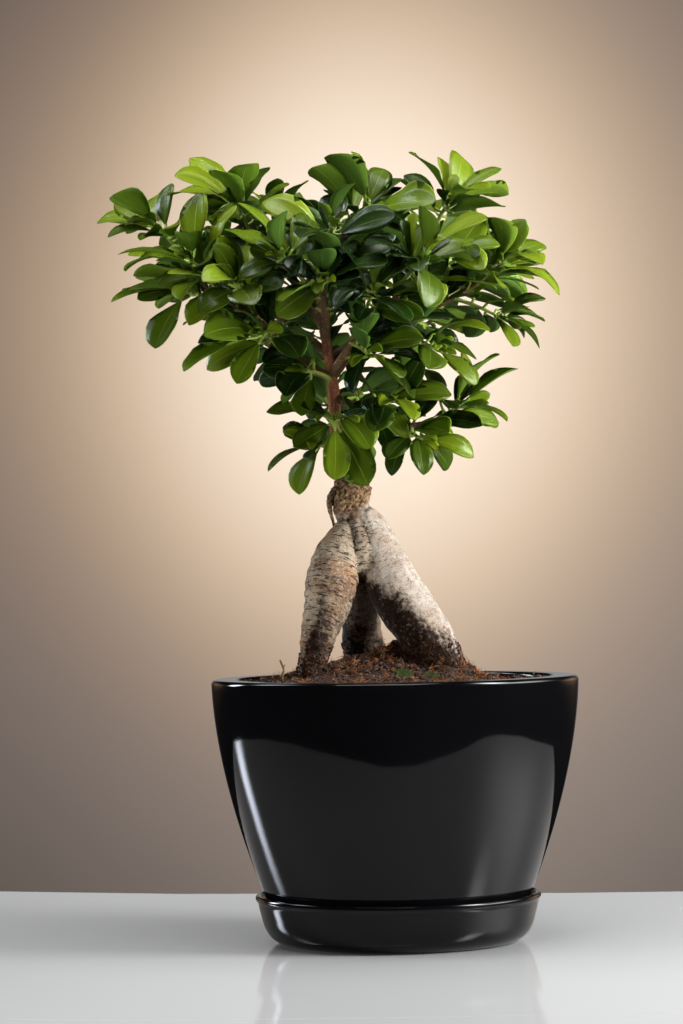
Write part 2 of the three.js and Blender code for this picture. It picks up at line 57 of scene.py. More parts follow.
CAMERA = {"place": (-30.3, -1958, 222.5), "aim": (-30.3, 0, 257.3), "lens": 114.7, "sensor": 36,
          "roll": -0.93, "sees": (0.05, 50)}  # it sees from and to these metres away
BOARD = {"middle": (-28, 250), "reach": 584, "square_right": 3.9, "square_left": 2.3, "thick": 12,
         "back": [(556, 262), (200, 267), (115, 270), (-146, 306), (-271, 344), (-612, 415)],
         "apron": [(-730, 240), (-730, -620), (670, -620), (670, 240)],  # carries the board on
         "apron_top": -0.05}

GLOW = {"middle": (0.0065, 0.0784), "reach": 0.079, "taller": 1.28, "power": 2.9, "bright": 0.726,
        "tint": ((1.0, 1.0), (0.908, 1.234), (0.85, 1.66)),  # share and power of red, green and blue
        "dark": (0.008, 0.001, 0.004), "fill": (0.007, 0.007, 0.008),
        "floor": (0.6, 0.61, 0.62), "floor_below": -0.112}
HAZE = {"middle": (0.028, 0.0544), "size": (0.136, 0.203),  # a wider veil round the glow
        "colour": (0.4, 0.34, 0.288)}
WINDOWS = [  # soft lights far off: azimuth, elevation, half width, half height, strength, colour
    (-55, 18, 4.2, 8, 60, "#e9f0ff"),
    (92, 29, 24, 10, 22, "#ffffff"),
    (101, 46, 8, 9, 130, "#ffffff"),
    (-60, 48, 6, 10, 30, "#eef3ff"),
    (2, 4, 13, 7, 0.4, "#f0f0f1"),
    (-32, 6, 12, 7, 0.9, "#d9a983"),
    (38, 7, 14, 8, 1.5, "#e6bf99"),
]
LAMPS = {  # where each lamp is and looks, its width, height and watts, and whether gloss shows it
    "key_right": ((900, -330, 420), (-30, 0, 190), (360, 340), 17.5, False),
    "box_above": ((-100, -180, 1450), (-30, 0, 200), (800, 600), 19, True),
    "fill_left": ((-850, -1350, 300), (-40, 0, 290), (400, 300), 9, False),
    "rim_left": ((-1050, 380, 100), (-40, 0, 300), (300, 180), 5, False),
}

POT = {"bulge": 1.7, "foot_radius": 70.5, "rim_width": 16.5, "rim_edge": 2.8, "wall": 9, "floor": 9,
       "foot_ring": 9, "foot_step": 2.5, "drain_radius": 8, "sides": 256}
SAUCER = {"radius": 85.5, "foot_radius": 68, "wall": 5, "floor": 6, "sides": 224}
SOIL = {"below_rim": 5, "wall_gap": 0.4, "rings": 70, "sides": 200,
        "levels": (18, 45, 90), "above_floor": 8,  # how far down its body has rings
        "mounds": [(-14, 0, 17, 36), (12, 10, 16, 13), (37, -10, 9, 10)],  # x, y, height, spread
        "rough": [(2.4, 13), (1.8, 5), (0.9, 2.2)],  # depth, size
        "top_within": 30}  # how far below the rim the lowest of its top may lie
CLINGING = {"thins_from": 6, "ends": 26}  # peat on the roots, up from the height of the rim
STREWN = [  # piece, what it lies on, thing, finish, how many to a square metre, tilt, least and most size
    ("peat_crumbs", "soil", "crumb", "crumb", 260000, 3.1, 0.6, 2.3),
    ("peat_clods", "soil", "clod", "crumb", 24000, 3.1, 2.2, 5.5),
    ("peat_straws", "soil", "straw", "fibre", 42000, 0.5, 0.5, 1.7),
    ("peat_hairs", "soil", "hair", "fibre", 52000, 1.0, 0.5, 1.5),
    ("clinging_crumbs", "roots", "crumb", "crumb", 330000, 3.1, 0.7, 2.6),
    ("clinging_hairs", "roots", "hair", "fibre", 120000, 0.9, 0.3, 1.0),
    ("moss_0", (4, -45, 5.5), "sprig", "moss", 1400000, 0.5, 0.5, 1.1),  # a patch: x, y and radius
    ("moss_1", (21, -40, 4), "sprig", "moss", 1400000, 0.5, 0.5, 1.1),
]
FALLEN_TWIG = {"line": [(-66, -32, 155), (-67, -32, 160), (-66, -31, 164), (-68, -32, 170)],
               "radius": (0.95, 0.5), "forks_at": 9, "fork": [(0, 0, 0), (0.8, 0.3, 0.9), (1.1, 0.3, 1.8)],
               "fork_radii": (0.4, 0.35, 0.25)}

# Each station is x, y, z and the radius there.
ROOTS = {
    "left": [(-24.5, 0, 262, 8), (-24.8, -1, 252, 7.5), (-28, -4, 243, 9.6), (-32.5, -7.5, 232, 13.6),
             (-36, -12, 218, 15.6), (-40, -17, 199, 13.6), (-46, -21, 180, 9.8), (-51, -25, 161, 7),
             (-55, -28, 138, 3.5)],
    "right": [(-24, 0, 262, 9.5), (-16, 0, 248, 12), (-9, -2, 233, 14.6), (0, -5, 214, 16.2),
              (11, -8, 195, 16.4), (23, -10, 177, 14.6), (34, -12, 160, 10), (44, -14, 138, 5)],
    "back": [(-24, 2, 256, 9), (-23, 9, 226, 9.5), (-20, 16, 208, 10.4), (-19, 21, 190, 11.8),
             (-18, 25, 173, 12.2), (-17, 28, 156, 9), (-16, 31, 136, 4.5)],
    "fork": [(-24, 0, 262, 9.5), (-20, -5, 248, 8), (-18.5, -9.5, 236, 7.6), (-18, -10, 226, 6.6),
             (-18.5, -7, 216, 3.5)],
    "graft": [(-25, 0, 250, 8.5), (-24.5, 0, 258, 10.6), (-24, 0, 265, 11.4), (-25, 0, 272, 10.4),
              (-27, 0, 278, 7)],
}
CURL = {"line": [(-32.5, -4, 272, 2.6), (-36, -5, 266, 2.4), (-36.5, -5, 259, 1.7), (-34.6, -5, 250, 0.7)],
        "turns": (-115, -75, -35, 0, 35, 75, 115), "thick": 0.9, "ragged": 0.25, "deeper": 1.1,
        "tongue": 1.6, "carries": {"knob": 1.0, "soiled": 0.42}}

SCAR = {"gap": (7, 10), "first": (2, 6), "half_width": 1.1, "swell": 0.13}  # rings of old leaf scars
FLARE = {"below": 284, "over": 14, "wider": 2.2}  # of the stem, down on to the graft

# The radius at the start and the end, then the stations.
BRANCHES = {
    "stem": (4.4, 1.7, [(-27, 0, 268), (-32, 0, 301), (-35, 0, 343), (-40, 2, 378), (-37, 4, 404),
                        (-26, -8, 424)]),
    "left": (3.1, 1.5, [(-35, 0, 338), (-57, -4, 349), (-78, -6, 363), (-104, -4, 384), (-122, -6, 410)]),
    "right": (3.1, 1.5, [(-35, 0, 338), (-22, -4, 353), (2, -10, 367), (30, -13, 380), (52, -18, 391)]),
    "lowRight": (2.6, 1.5, [(-33, 0, 326), (-16, -12, 318), (2, -18, 308), (24, -17, 309)]),
    "topLeft": (2.8, 1.5, [(-39, 1, 368), (-54, -3, 393), (-68, -9, 407), (-80, -15, 419)]),
    "topRight": (2.6, 1.5, [(-6, -8, 362), (6, -10, 388), (18, -15, 406), (27, -20, 423)]),
    "front": (2.8, 1.5, [(-38, 1, 362), (-38, -20, 378), (-40, -42, 386), (-50, -60, 391)]),
    "frontRight": (2.4, 1.5, [(-6, -9, 362), (2, -28, 374), (5, -58, 386)]),
    "frontLow": (2.4, 1.5, [(-35, 0, 340), (-28, -22, 350), (-16, -56, 368)]),
    "frontLeft": (2.2, 1.5, [(-64, -5, 353), (-76, -30, 370), (-98, -42, 384)]),
    "backLeft": (3, 1.5, [(-37, 0, 352), (-54, 20, 368), (-74, 38, 384), (-96, 50, 398)]),
    "backRight": (3, 1.5, [(-36, 0, 350), (-14, 20, 364), (10, 38, 380), (36, 50, 394)]),
    "back": (2.8, 1.5, [(-39, 1, 366), (-38, 26, 386), (-36, 52, 400), (-34, 70, 408)]),
    "backLow": (2.4, 1.5, [(-33, 0, 318), (-36, 22, 322), (-38, 44, 326)]),
}

# The branch that a shoot leaves, how far along it, and where the shoot ends.
SHOOTS = {
    "far_left": ("left", 1, (-137, -12, 429)),
    "left": ("frontLeft", 1, (-115, -62, 404)),
    "low_left": ("left", 0.72, (-124, -8, 391)),
    "left_dark": ("left", 0.3, (-75, -62, 360)),
    "left_mid": ("frontLeft", 0.6, (-88, -76, 388)),
    "stem_left": ("stem", 0.42, (-50, -36, 340)),
    "foot_left": ("stem", 0.17, (-46, -22, 296)),
    "foot_front": ("stem", 0.26, (-34, -34, 311)),
    "foot_mid": ("lowRight", 0.35, (0, -52, 321)),
    "foot_right": ("lowRight", 0.66, (17, -40, 299)),
    "low_right": ("lowRight", 1, (41, -22, 318)),
    "right": ("right", 1, (68, -30, 402)),
    "right_low": ("right", 0.84, (68, -8, 371)),
    "right_mid": ("frontRight", 0.5, (40, -60, 403)),
    "top_right": ("topRight", 1, (36, -24, 440)),
    "front_right": ("frontRight", 1, (19, -84, 399)),
    "top_mid": ("stem", 1, (-10, -28, 436)),
    "top_left": ("topLeft", 1, (-89, -24, 440)),
    "top_back_left": ("topLeft", 0.6, (-68, 14, 436)),
    "front_left": ("front", 1, (-62, -88, 402)),
    "top_front": ("front", 0.55, (-33, -66, 422)),
    "centre": ("front", 0.72, (-38, -84, 388)),
    "centre_right": ("frontLow", 1, (-10, -86, 382)),
    "low_mid": ("frontLow", 0.6, (-13, -72, 346)),
    "low_mid_right": ("right", 0.42, (25, -56, 351)),
    "right_back": ("right", 0.72, (56, 16, 396)),
    "back_right_end": ("backRight", 1, (56, 62, 402)),
    "back_right_top": ("backRight", 0.72, (32, 42, 424)),
    "back_right_low": ("backRight", 0.6, (22, 66, 374)),
    "back_end": ("back", 1, (-30, 92, 414)),
    "back_high_left": ("back", 0.66, (-58, 66, 426)),
    "back_high_right": ("back", 0.75, (-8, 68, 428)),
    "back_top": ("stem", 0.88, (-30, 30, 438)),
    "back_left_end": ("backLeft", 1, (-120, 60, 408)),
    "back_left_top": ("backLeft", 0.78, (-98, 44, 428)),
    "back_left_low": ("backLeft", 0.62, (-76, 68, 380)),
    "left_back": ("left", 0.6, (-110, 26, 402)),
    "back_low_end": ("backLow", 1, (-36, 66, 338)),
    "back_low_right": ("backLow", 0.6, (-8, 44, 330)),
    "back_low_left": ("backLow", 0.7, (-58, 42, 342)),
    "back_foot": ("stem", 0.22, (-24, 26, 304)),
}

LEAF = {
    "outline": [(0, 0.03), (0.05, 0.14), (0.13, 0.35), (0.25, 0.62), (0.39, 0.85), (0.53, 0.98), (0.66, 1),
                (0.78, 0.92), (0.87, 0.75), (0.935, 0.5), (0.975, 0.25), (1, 0.02)],
    "thick": 0.55, "broader": (0.84, 1.06),
    "slender": 0.235, "stalk_share": 0.15, "bow": (0.02, 0.12),  # shares of an added leaf's reach
    "wave": (0, 0.12), "twist": (-0.35, 0.35), "sway": (-0.05, 0.05), "roll": (-0.6, 0.6),
    "level": 0.5, "lift": 0.14,  # how much of its slope a leaf keeps, and how far it turns up
    "heart": (-35, 0, 370), "up": 0.8, "away": 0.42, "front": 0.3,  # it looks up and out from here
    "turn": math.radians(137.5),
    "stem_view": ((-43, -130, 318), (-28, -8, 372)),  # no leaf hangs in here, before the stem
}

STALK = {"most": 0.75, "share": 0.05, "wider": 1.25, "bend_at": 0.6, "bend": 0.08, "into": 1.5,
         "young": 0.35}  # in a share of the leaf's length, or of the stalk's
SHOOT = {"steps": 12, "thick": 1.55, "fine": 0.8, "young": 0.25, "rise": 0.08}

# Leaves that the solids leave out: how far along the line, how far spread from it, their reach.
# Their young share is low: they are old leaves, and their darker colour is also painted shade inside the
# crown.
OLDER = {"many": 5, "few": 2, "few_below": 345, "along": (0.4, 0.92), "spread": (0.8, 1.3),
         "reach": (24, 36), "young": 0.4}
INNER = {"gap": 5, "from": {"stem": 0.42, "left": 0.1}, "from_else": 0.25, "to": 0.98,
         "spread": (0.7, 1.3), "reach": (26, 40), "young": 0.12}
TIP = {"leaves": 4, "back": 0.015, "spread": (0.25, 0.13), "reach": (9, 13), "longer": 4,
       "slim": 0.8, "young": (0.75, 1), "fold": 0.6, "curl": 0.12}
BUD = {"spread": 0.1, "reach": 9, "slim": 0.4, "fold": 1.2}

# How young leaves look: by their reach from the heart of the crown, partly their age and partly
# painted shade deep in the crown and below it; lighter at the far left as painted light, and
# darker round the middle near the top as painted shade.
YOUTH_AND_LIGHT = {"from": 36, "over": 62, "share": 0.75, "depth": 0.5, "below": 0.8, "by_chance": 0.35,
         "left": {"share": 0.6, "from": -70, "over": 40},
         "inner": {"share": 0.4, "x": -28, "half_width": 42, "above": 350, "over": 25}}

# ---------------------------------------------------------------- node trees, written as sums


class Wire:
    """A node's output. A sum written with wires becomes Math nodes in the same tree."""

    def __init__(self, graph, socket):
        self.graph, self.socket = graph, socket

    def __add__(self, other):
        return self.graph.math("ADD", self, other)

    def __sub__(self, other):
        return self.graph.math("SUBTRACT", self, other)

    def __rsub__(self, other):
        return self.graph.math("SUBTRACT", other, self)

    def __mul__(self, other):
        return self.graph.math("MULTIPLY", self, other)

    def __pow__(self, other):
        return self.graph.math("POWER", self, other)

    __radd__, __rmul__ = __add__, __mul__


class Graph:
    """A node tree being laid: makes nodes, feeds their sockets and hands out wires."""

    def __init__(self, tree):
        self.tree = tree

    def feed(self, socket, value):
        if isinstance(value, Wire):
            self.tree.links.new(value.socket, socket)
        else:
            socket.default_value = value

    def node(self, kind, feeds=(), out=0, **settings):
        made = self.tree.nodes.new(kind)
        for key, value in settings.items():
            setattr(made, key, value)
        names = {socket.identifier: socket for socket in made.inputs}
        for key, value in dict(feeds).items():
            self.feed(names[key] if key in names else made.inputs[key], value)
        return Wire(self, made.outputs[out])

    def math(self, operation, *values):
        return self.node("ShaderNodeMath", enumerate(values), operation=operation)

    def vector(self, operation, *values, out=0):
        return self.node("ShaderNodeVectorMath", enumerate(values), out=out, operation=operation)

    def length(self, vector):
        return self.vector("LENGTH", vector, out=1)

    def scaled(self, vector, by):
        return self.node("ShaderNodeVectorMath", {"Vector": vector, "Scale": by}, operation="SCALE")

    def axes(self, vector):
        split = self.node("ShaderNodeSeparateXYZ", {0: vector}).socket.node
        return [Wire(self, socket) for socket in split.outputs]

    def joined(self, x, y, z):
        return self.node("ShaderNodeCombineXYZ", {0: x, 1: y, 2: z})

    def step(self, value, low, high):
        """0 below low, 1 above high and a smooth step between. High may be the lower one."""
        feeds = {"Value": value, "From Min": low, "From Max": high}
        return self.node("ShaderNodeMapRange", feeds, interpolation_type="SMOOTHSTEP")

    def noise(self, place, scale, detail=2.0, rough=0.5):
        feeds = {"Vector": place, "Scale": scale, "Detail": detail, "Roughness": rough}
        return self.node("ShaderNodeTexNoise", feeds)

    def cells(self, place, scale):
        return self.node("ShaderNodeTexVoronoi", {"Vector": place, "Scale": scale})

    def blend(self, share, one, other):
        feeds = {"Factor_Float": share, "A_Color": one, "B_Color": other}
        return self.node("ShaderNodeMix", feeds, out=2, data_type="RGBA")

    def value(self, name):
        """A number that the mesh carries, read by a material."""
        return self.node("ShaderNodeAttribute", out=2, attribute_name=name)

    def carried(self, name, kind="FLOAT"):
        """A number or vector that the mesh carries, read by a geometry tree."""
        return self.node("GeometryNodeInputNamedAttribute", {"Name": name}, data_type=kind)

    def bump(self, height, depth):
        return self.node("ShaderNodeBump", {"Height": height, "Distance": depth * MM, "Strength": 1.0})


def paint(code):
    """A linear colour from its usual six-figure code."""
    channels = [int(code[i:i + 2], 16) / 255 for i in (1, 3, 5)]
    linear = [c / 12.92 if c <= 0.04045 else ((c + 0.055) / 1.055) ** 2.4 for c in channels]
    return (*linear, 1.0)


def material(name, lay, through=0.0):
    """A material. `lay(graph, place)` gives the shader's settings. `through` is the share of
    light that passes a thin blade, in the colour that it lays as "Through"."""
    made = bpy.data.materials.new(name)
    made.use_nodes = True
    graph = Graph(made.node_tree)
    shader = made.node_tree.nodes["Principled BSDF"]
    place = graph.node("ShaderNodeTexCoord", out=3)
    settings = lay(graph, place)
    glow = settings.pop("Through", None)
    for key, value in settings.items():
        graph.feed(shader.inputs[key], value)
    if glow:
        leak = graph.node("ShaderNodeBsdfTranslucent", {"Color": glow, "Normal": settings["Normal"]})
        both = graph.node("ShaderNodeMixShader", {0: through, 1: Wire(graph, shader.outputs[0]), 2: leak})
        graph.feed(made.node_tree.nodes["Material Output"].inputs["Surface"], both)
    return made


# ---------------------------------------------------------------- finishes


def black_glaze(g, place):
    """Glossy black glaze: a deep, slightly wavy coat with hardly a speck in it."""
    cloud = g.noise(place, 14)
    speck = g.step(g.noise(place, 900, 1), 0.74, 0.8)
    colour = g.blend(cloud, paint("#050506"), paint("#0b0b0d"))
    return {
        "Base Color": g.blend(speck * 0.5, colour, paint("#17171a")),
        "Roughness": 0.035 + 0.05 * cloud + 0.08 * speck,
        "IOR": 1.245,
        "Normal": g.bump(g.noise(place, 38, 1), 0.12),
    }


def root_bark(g, place):
    """Pale bark with fine specks, nearly white on the smooth root. The others are tan with many
    short dark dashes across them. The knob is rough and brown. Near black covers the feet where
    soil stains them, and is painted shade on undersides, in the creases between the roots, round
    the knob's neck and on the side turned from the light."""
    along, ringed = g.value("along"), g.value("ringed")
    knob, soiled = g.value("knob"), g.value("soiled")
    x, y, _ = g.axes(place)
    patch = g.step(g.noise(place, 45, 3), 0.38, 0.62)
    fine, dust = g.noise(place, 800, 4, 0.7), g.noise(place, 260, 3)
    smooth = g.blend(patch, paint("#cfc4b8"), paint("#b19d89"))
    tan = g.blend(patch, paint("#ae9c84"), paint("#7d6046"))
    tan = g.blend(g.step(g.noise(place, 62, 1), 0.54, 0.68) * 0.5, tan, paint("#b3845c"))
    colour = g.blend(ringed, smooth, tan)
    colour = g.blend(g.step(fine, 0.45, 0.75) * 0.7, colour, paint("#d8cec2"))
    colour = g.blend(g.step(dust, 0.5, 0.72) * 0.45, colour, paint("#7b6550"))
    speck = g.step(g.cells(place, 560), 0.26, 0.16) * g.step(g.noise(place, 120, 2), 0.4, 0.6)
    colour = g.blend(speck * 0.8, colour, paint("#4a3a2c"))
    drawn = g.joined(x, y, along * 0.0042)
    dash = g.step(g.noise(drawn, 215, 2, 0.6), 0.565, 0.61) * g.step(g.noise(place, 80, 2), 0.34, 0.48)
    ring = g.step(g.math("PINGPONG", along * 0.3 + 1.2 * g.noise(place, 90, 3), 0.5), 0.1, 0.03)
    dash = (dash + 0.5 * ring * g.step(dust, 0.4, 0.55)) * ringed
    colour = g.blend(dash * 0.85, colour, paint("#30211a"))
    clump = g.noise(place, 470, 4, 0.7)
    pit = g.step(g.cells(place, 340), 0.34, 0.16) * g.step(g.noise(place, 190, 2), 0.42, 0.58)
    rough_bark = g.blend(g.step(clump, 0.38, 0.64), paint("#49331f"), paint("#b3926d"))
    rough_bark = g.blend(pit * 0.85, rough_bark, paint("#241811"))
    colour = g.blend(knob, colour, rough_bark)
    clot = g.noise(place, 420, 3, 0.6)
    # Near black at the feet: soil stains, and painted shade on undersides, in creases and on the side
    # turned from the light.
    stain_shade = g.step(soiled + 1.8 * (clot - 0.5) + 1.0 * (fine - 0.5), 0.0, 0.95)
    colour = g.blend(stain_shade, colour, g.blend(g.step(fine, 0.4, 0.8), paint("#0f0906"), paint("#452c1c")))
    height = 0.6 * fine + 0.7 * dust - 1.0 * dash - 0.8 * speck
    height = height + knob * (2.2 * clump - 1.5 * pit)
    return {"Base Color": colour, "Roughness": 0.78 + 0.15 * fine, "Normal": g.bump(height, 0.6)}


def stem_bark(g, place):
    """Young reddish-brown bark, with pale lengthwise streaks and corky dots."""
    x, y, z = g.axes(place)
    drawn = g.joined(x, y, z * 0.16)
    streak = g.noise(drawn, 900, 3)
    blotch = g.noise(place, 130, 2)
    colour = g.blend(streak, paint("#58291c"), paint("#ad7253"))
    colour = g.blend(g.step(blotch, 0.5, 0.75) * 0.5, colour, paint("#94704f"))
    thin = g.value("thin")
    colour = g.blend(thin, colour, g.blend(streak, paint("#3b2c1c"), paint("#6d5c38")))
    dot = g.step(g.cells(place, 480), 0.24, 0.14)
    colour = g.blend(dot * 0.7, colour, paint("#c9a27f"))
    height = streak + 0.6 * blotch + dot
    return {"Base Color": colour, "Roughness": 0.62 + 0.2 * blotch, "Normal": g.bump(height, 0.35)}


def green_twig(g, place):
    """Green-brown shoots and pale leaf stalks."""
    streak = g.noise(place, 500, 2)
    young = g.value("young")
    colour = g.blend(streak, paint("#5b5a2a"), paint("#7f8a3c"))
    colour = g.blend(young, colour, g.blend(streak, paint("#86a53a"), paint("#a9c75a")))
    return {"Base Color": colour, "Roughness": 0.42 + 0.15 * streak, "Normal": g.bump(streak, 0.15)}


def leaf_blade(g, place):
    """A leathery leaf: glossy and deep green above, paler and duller below, with a pale
    midrib, faint side veins and a thin pale margin, which is partly a painted rim highlight.
    Young leaves are yellow-green; the young value also paints shade, darker deep in the crown
    and below it, and paints light, lighter at the far left."""
    u, v, _ = g.axes(g.node("ShaderNodeUVMap", uv_map="UVMap"))
    under = g.step(v, 1.4, 1.6)
    side = g.math("ABSOLUTE", v - 3.0 * under)
    young, tone = g.value("young"), g.value("tone")
    cloud = g.noise(place, 90, 2)
    grain = g.noise(place, 1500, 2)
    old = g.blend(tone, paint("#0b1f05"), paint("#2b4d0b"))
    fresh = g.blend(tone, paint("#4e6a10"), paint("#8b9f1c"))
    # Old dark and fresh yellow-green by the young value, which also carries painted shade deep in the crown
    # and painted light at the far left.
    colour = g.blend(g.step(young, 0.05, 1.0), old, fresh)
    colour = g.blend(cloud * 0.3, colour, g.blend(young, paint("#10270a"), paint("#829c1e")))
    vein_wave = g.math("SINE", (u - 0.42 * side) * 82.0)
    vein = g.step(vein_wave, 0.82, 1.0) * g.step(side, 1.0, 0.7) * g.step(side, 0.02, 0.1)
    rib = g.step(side, 0.065 - 0.045 * u, 0.025 - 0.017 * u)
    # The pale margin: partly the leaf's own pale edge, partly a painted rim highlight.
    margin = g.step(side, 0.93, 0.97)
    pale = g.blend(young, paint("#5f8d33"), paint("#bccf56"))
    colour = g.blend(vein * 0.08, colour, pale)
    colour = g.blend(rib * 0.7, colour, pale)
    colour = g.blend(margin * 0.8, colour, pale)
    back = g.blend(0.5, colour, paint("#5f8336"))
    colour = g.blend(under, colour, back)
    height = 0.25 * vein + 0.25 * grain + 1.2 * rib * (2.0 * under - 1.0) + 0.5 * cloud
    return {
        "Base Color": colour,
        "Roughness": 0.24 + 0.22 * under + 0.08 * grain,
        "Specular IOR Level": 0.22,
        "Normal": g.bump(height, 0.2),
        "Through": g.blend(0.5, g.blend(young, paint("#122b02"), paint("#a9c60e")), colour),
    }


def damp_and_rim_shade(g, place):
    """1 where the soil is dark, to 0 where it is dry: in wet patches, and by the rim as painted
    shade under the rim and along the pot wall.
    """
    x, y, _ = g.axes(place)
    # Painted shade in a ring along the pot wall, under the rim.
    rim = g.step(g.length(g.joined(x, y, 0.0)), 0.066, 0.09)
    return g.math("MAXIMUM", rim, g.step(g.noise(place, 70, 2), 0.44, 0.58))


def damp_peat(g, place):
    """The bed of red-brown peat under the crumbs."""
    clod, fine = g.noise(place, 130, 4, 0.6), g.noise(place, 800, 3)
    colour = g.blend(g.step(clod, 0.4, 0.7), paint("#0e0805"), paint("#3d2616"))
    colour = g.blend(g.step(fine, 0.55, 0.8) * 0.7, colour, paint("#7a5336"))
    return {"Base Color": colour, "Roughness": 0.95, "Normal": g.bump(clod + 0.6 * fine, 1.2)}


def crumb_finish(g, place):
    """Crumbs of peat, from nearly black to red-brown."""
    tone, fine = g.value("tone"), g.noise(place, 900, 3)
    colour = g.blend(g.step(tone, 0.25, 1.0), paint("#0e0705"), paint("#6b3a1b"))
    colour = g.blend(g.step(fine, 0.5, 0.8) * 0.4, colour, paint("#8b5c39"))
    # Darker by the rim as painted shade, and in wet patches.
    colour = g.blend(damp_and_rim_shade(g, place) * 0.75, colour, paint("#0d0807"))
    return {"Base Color": colour, "Roughness": 0.92, "Normal": g.bump(fine, 0.4)}


def fibre_finish(g, place):
    """Straws and hairs of peat, from brown to straw."""
    tone, fine = g.value("tone"), g.noise(place, 1200, 2)
    colour = g.blend(g.step(tone, 0.2, 0.9), paint("#552c18"), paint("#c08a55"))
    colour = g.blend(fine * 0.3, colour, paint("#3a2316"))
    # Darker by the rim as painted shade, and in wet patches.
    colour = g.blend(damp_and_rim_shade(g, place) * 0.75, colour, paint("#20140e"))
    return {"Base Color": colour, "Roughness": 0.8, "Normal": g.bump(fine, 0.1)}


def moss_finish(g, place):
    """Moss, dark green at the foot of its tones and yellow-green at the top."""
    tone, fine = g.value("tone"), g.noise(place, 900, 2)
    colour = g.blend(tone, paint("#1f3010"), paint("#56702a"))
    colour = g.blend(fine * 0.5, colour, paint("#24360f"))
    return {"Base Color": colour, "Roughness": 0.75, "Normal": g.bump(fine, 0.1)}


def white_board(g, place):
    """The pale board under the pot: smooth, with a soft gloss."""
    cloud = g.noise(place, 3, 2)
    return {
        "Base Color": g.blend(cloud, paint("#d0d1d1"), paint("#d7d7d8")),
        "Roughness": 0.06 + 0.03 * cloud,
        "Normal": g.bump(g.noise(place, 25, 1), 0.02),
    }


# ---------------------------------------------------------------- lines and turned shapes


def curve_through(stations, steps=10):
    """Places on the smooth curve through the stations, as the solids have it."""
    points = [Vector(station) for station in stations]
    points = [2 * points[0] - points[1], *points, 2 * points[-1] - points[-2]]
    places = []
    for a, b, c, d in zip(points, points[1:], points[2:], points[3:]):
        before, span, after = [max((q - p).length, 1e-4) ** 0.5 for p, q in ((a, b), (b, c), (c, d))]
        leave = ((b - a) / before - (c - a) / (before + span) + (c - b) / span) * span
        arrive = ((c - b) / span - (d - b) / (span + after) + (d - c) / after) * span
        for t in (i / steps for i in range(steps)):
            near, far = 2 * t**3 - 3 * t**2 + 1, 3 * t**2 - 2 * t**3
            places.append(near * b + far * c + (t**3 - 2 * t**2 + t) * leave + (t**3 - t**2) * arrive)
    return [*places, points[-2]]


def place_at(line, share):
    """The place at a share of a line's length."""
    left = share * sum((b - a).length for a, b in zip(line, line[1:]))
    for a, b in zip(line, line[1:]):
        step = (b - a).length
        if left <= step:
            return a.lerp(b, left / step)
        left -= step
    return line[-1].copy()


def heading_at(line, share):
    return (place_at(line, min(share + 0.04, 1)) - place_at(line, max(share - 0.04, 0))).normalized()


def nearest_share(line, place):
    """How far along a line, as a share of its length, the line is nearest to a place."""
    shares = [i / 40 for i in range(41)]
    return min(shares, key=lambda share: (place_at(line, share) - place).length)


def mix(low, high, share):
    return low + (high - low) * share


def arc(centre, radius, start, end, steps=6):
    """Points of an arc in a profile, its angles in degrees from outwards to upwards."""
    turns = [math.radians(mix(start, end, i / steps)) for i in range(steps + 1)]
    return [(centre[0] + radius * math.cos(t), centre[1] + radius * math.sin(t)) for t in turns]


def mesh_of(name, shape, outwards=False):
    """The mesh of a shape that is done, its faces turned outwards where asked."""
    if outwards:
        bmesh.ops.recalc_face_normals(shape, faces=shape.faces)
    mesh = bpy.data.meshes.new(name)
    shape.to_mesh(mesh)
    shape.free()
    return mesh


def linked(name, mesh):
    piece = bpy.data.objects.new(name, mesh)
    bpy.context.scene.collection.objects.link(piece)
    return piece


def turned(name, profile, sides):
    """A closed shape turned round the z axis from a profile in millimetres."""
    shape = bmesh.new()
    corners = [shape.verts.new((radius * MM, 0, height * MM)) for radius, height in profile]
    edges = [shape.edges.new(pair) for pair in zip(corners, corners[1:])]
    bmesh.ops.spin(shape, geom=corners + edges, axis=(0, 0, 1), cent=(0, 0, 0),
                   angle=2 * math.pi, steps=sides, use_merge=True)
    bmesh.ops.remove_doubles(shape, verts=shape.verts, dist=0.01 * MM)
    mesh = mesh_of(name, shape, outwards=True)
    mesh.shade_smooth()
    return linked(name, mesh)


def settled(piece, slot, *nodes, finish=None):
    """Hands a finished piece to the frame, in the place of the nodes that it replaces."""
    if finish:
        piece.data.materials.clear()
        piece.data.materials.append(finish)
    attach(piece, BODY)
    if nodes:
        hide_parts(*nodes)
    return piece


def made_plain(piece):
    """Applies the piece's modifiers."""
    evaluated = piece.evaluated_get(bpy.context.evaluated_depsgraph_get())
    mesh = bpy.data.meshes.new_from_object(evaluated)
    piece.modifiers.clear()
    piece.data = mesh
    mesh.name = piece.name
    return piece


# ---------------------------------------------------------------- geometry trees


def new_tree(name, **sockets):
    """A geometry tree with named inputs: its graph, and a wire from each input."""
    tree = bpy.data.node_groups.new(name, "GeometryNodeTree")
    tree.interface.new_socket("Geometry", in_out="OUTPUT", socket_type="NodeSocketGeometry")
    for title, kind in {"geometry": "Geometry", **sockets}.items():
        tree.interface.new_socket(title, in_out="INPUT", socket_type="NodeSocket" + kind)
    graph = Graph(tree)
    entry = tree.nodes.new("NodeGroupInput")
    return graph, {socket.name: Wire(graph, socket) for socket in entry.outputs if socket.name}


def end_tree(graph, *parts):
    """Joins the parts of a tree, each already with its material, and gives them out."""
    whole = graph.tree.nodes.new("GeometryNodeJoinGeometry")
    for part in parts:
        graph.tree.links.new(part.socket, whole.inputs[0])
    leave = graph.tree.nodes.new("NodeGroupOutput")
    graph.tree.links.new(whole.outputs[0], leave.inputs[0])
    return graph.tree


def smooth_in(graph, geometry, finish):
    """Smooth shading and a material, as every part of a tree ends."""
    geometry = graph.node("GeometryNodeRealizeInstances", {0: geometry})
    geometry = graph.node("GeometryNodeSetShadeSmooth", {0: geometry})
    return graph.node("GeometryNodeSetMaterial", {"Geometry": geometry, "Material": finish})


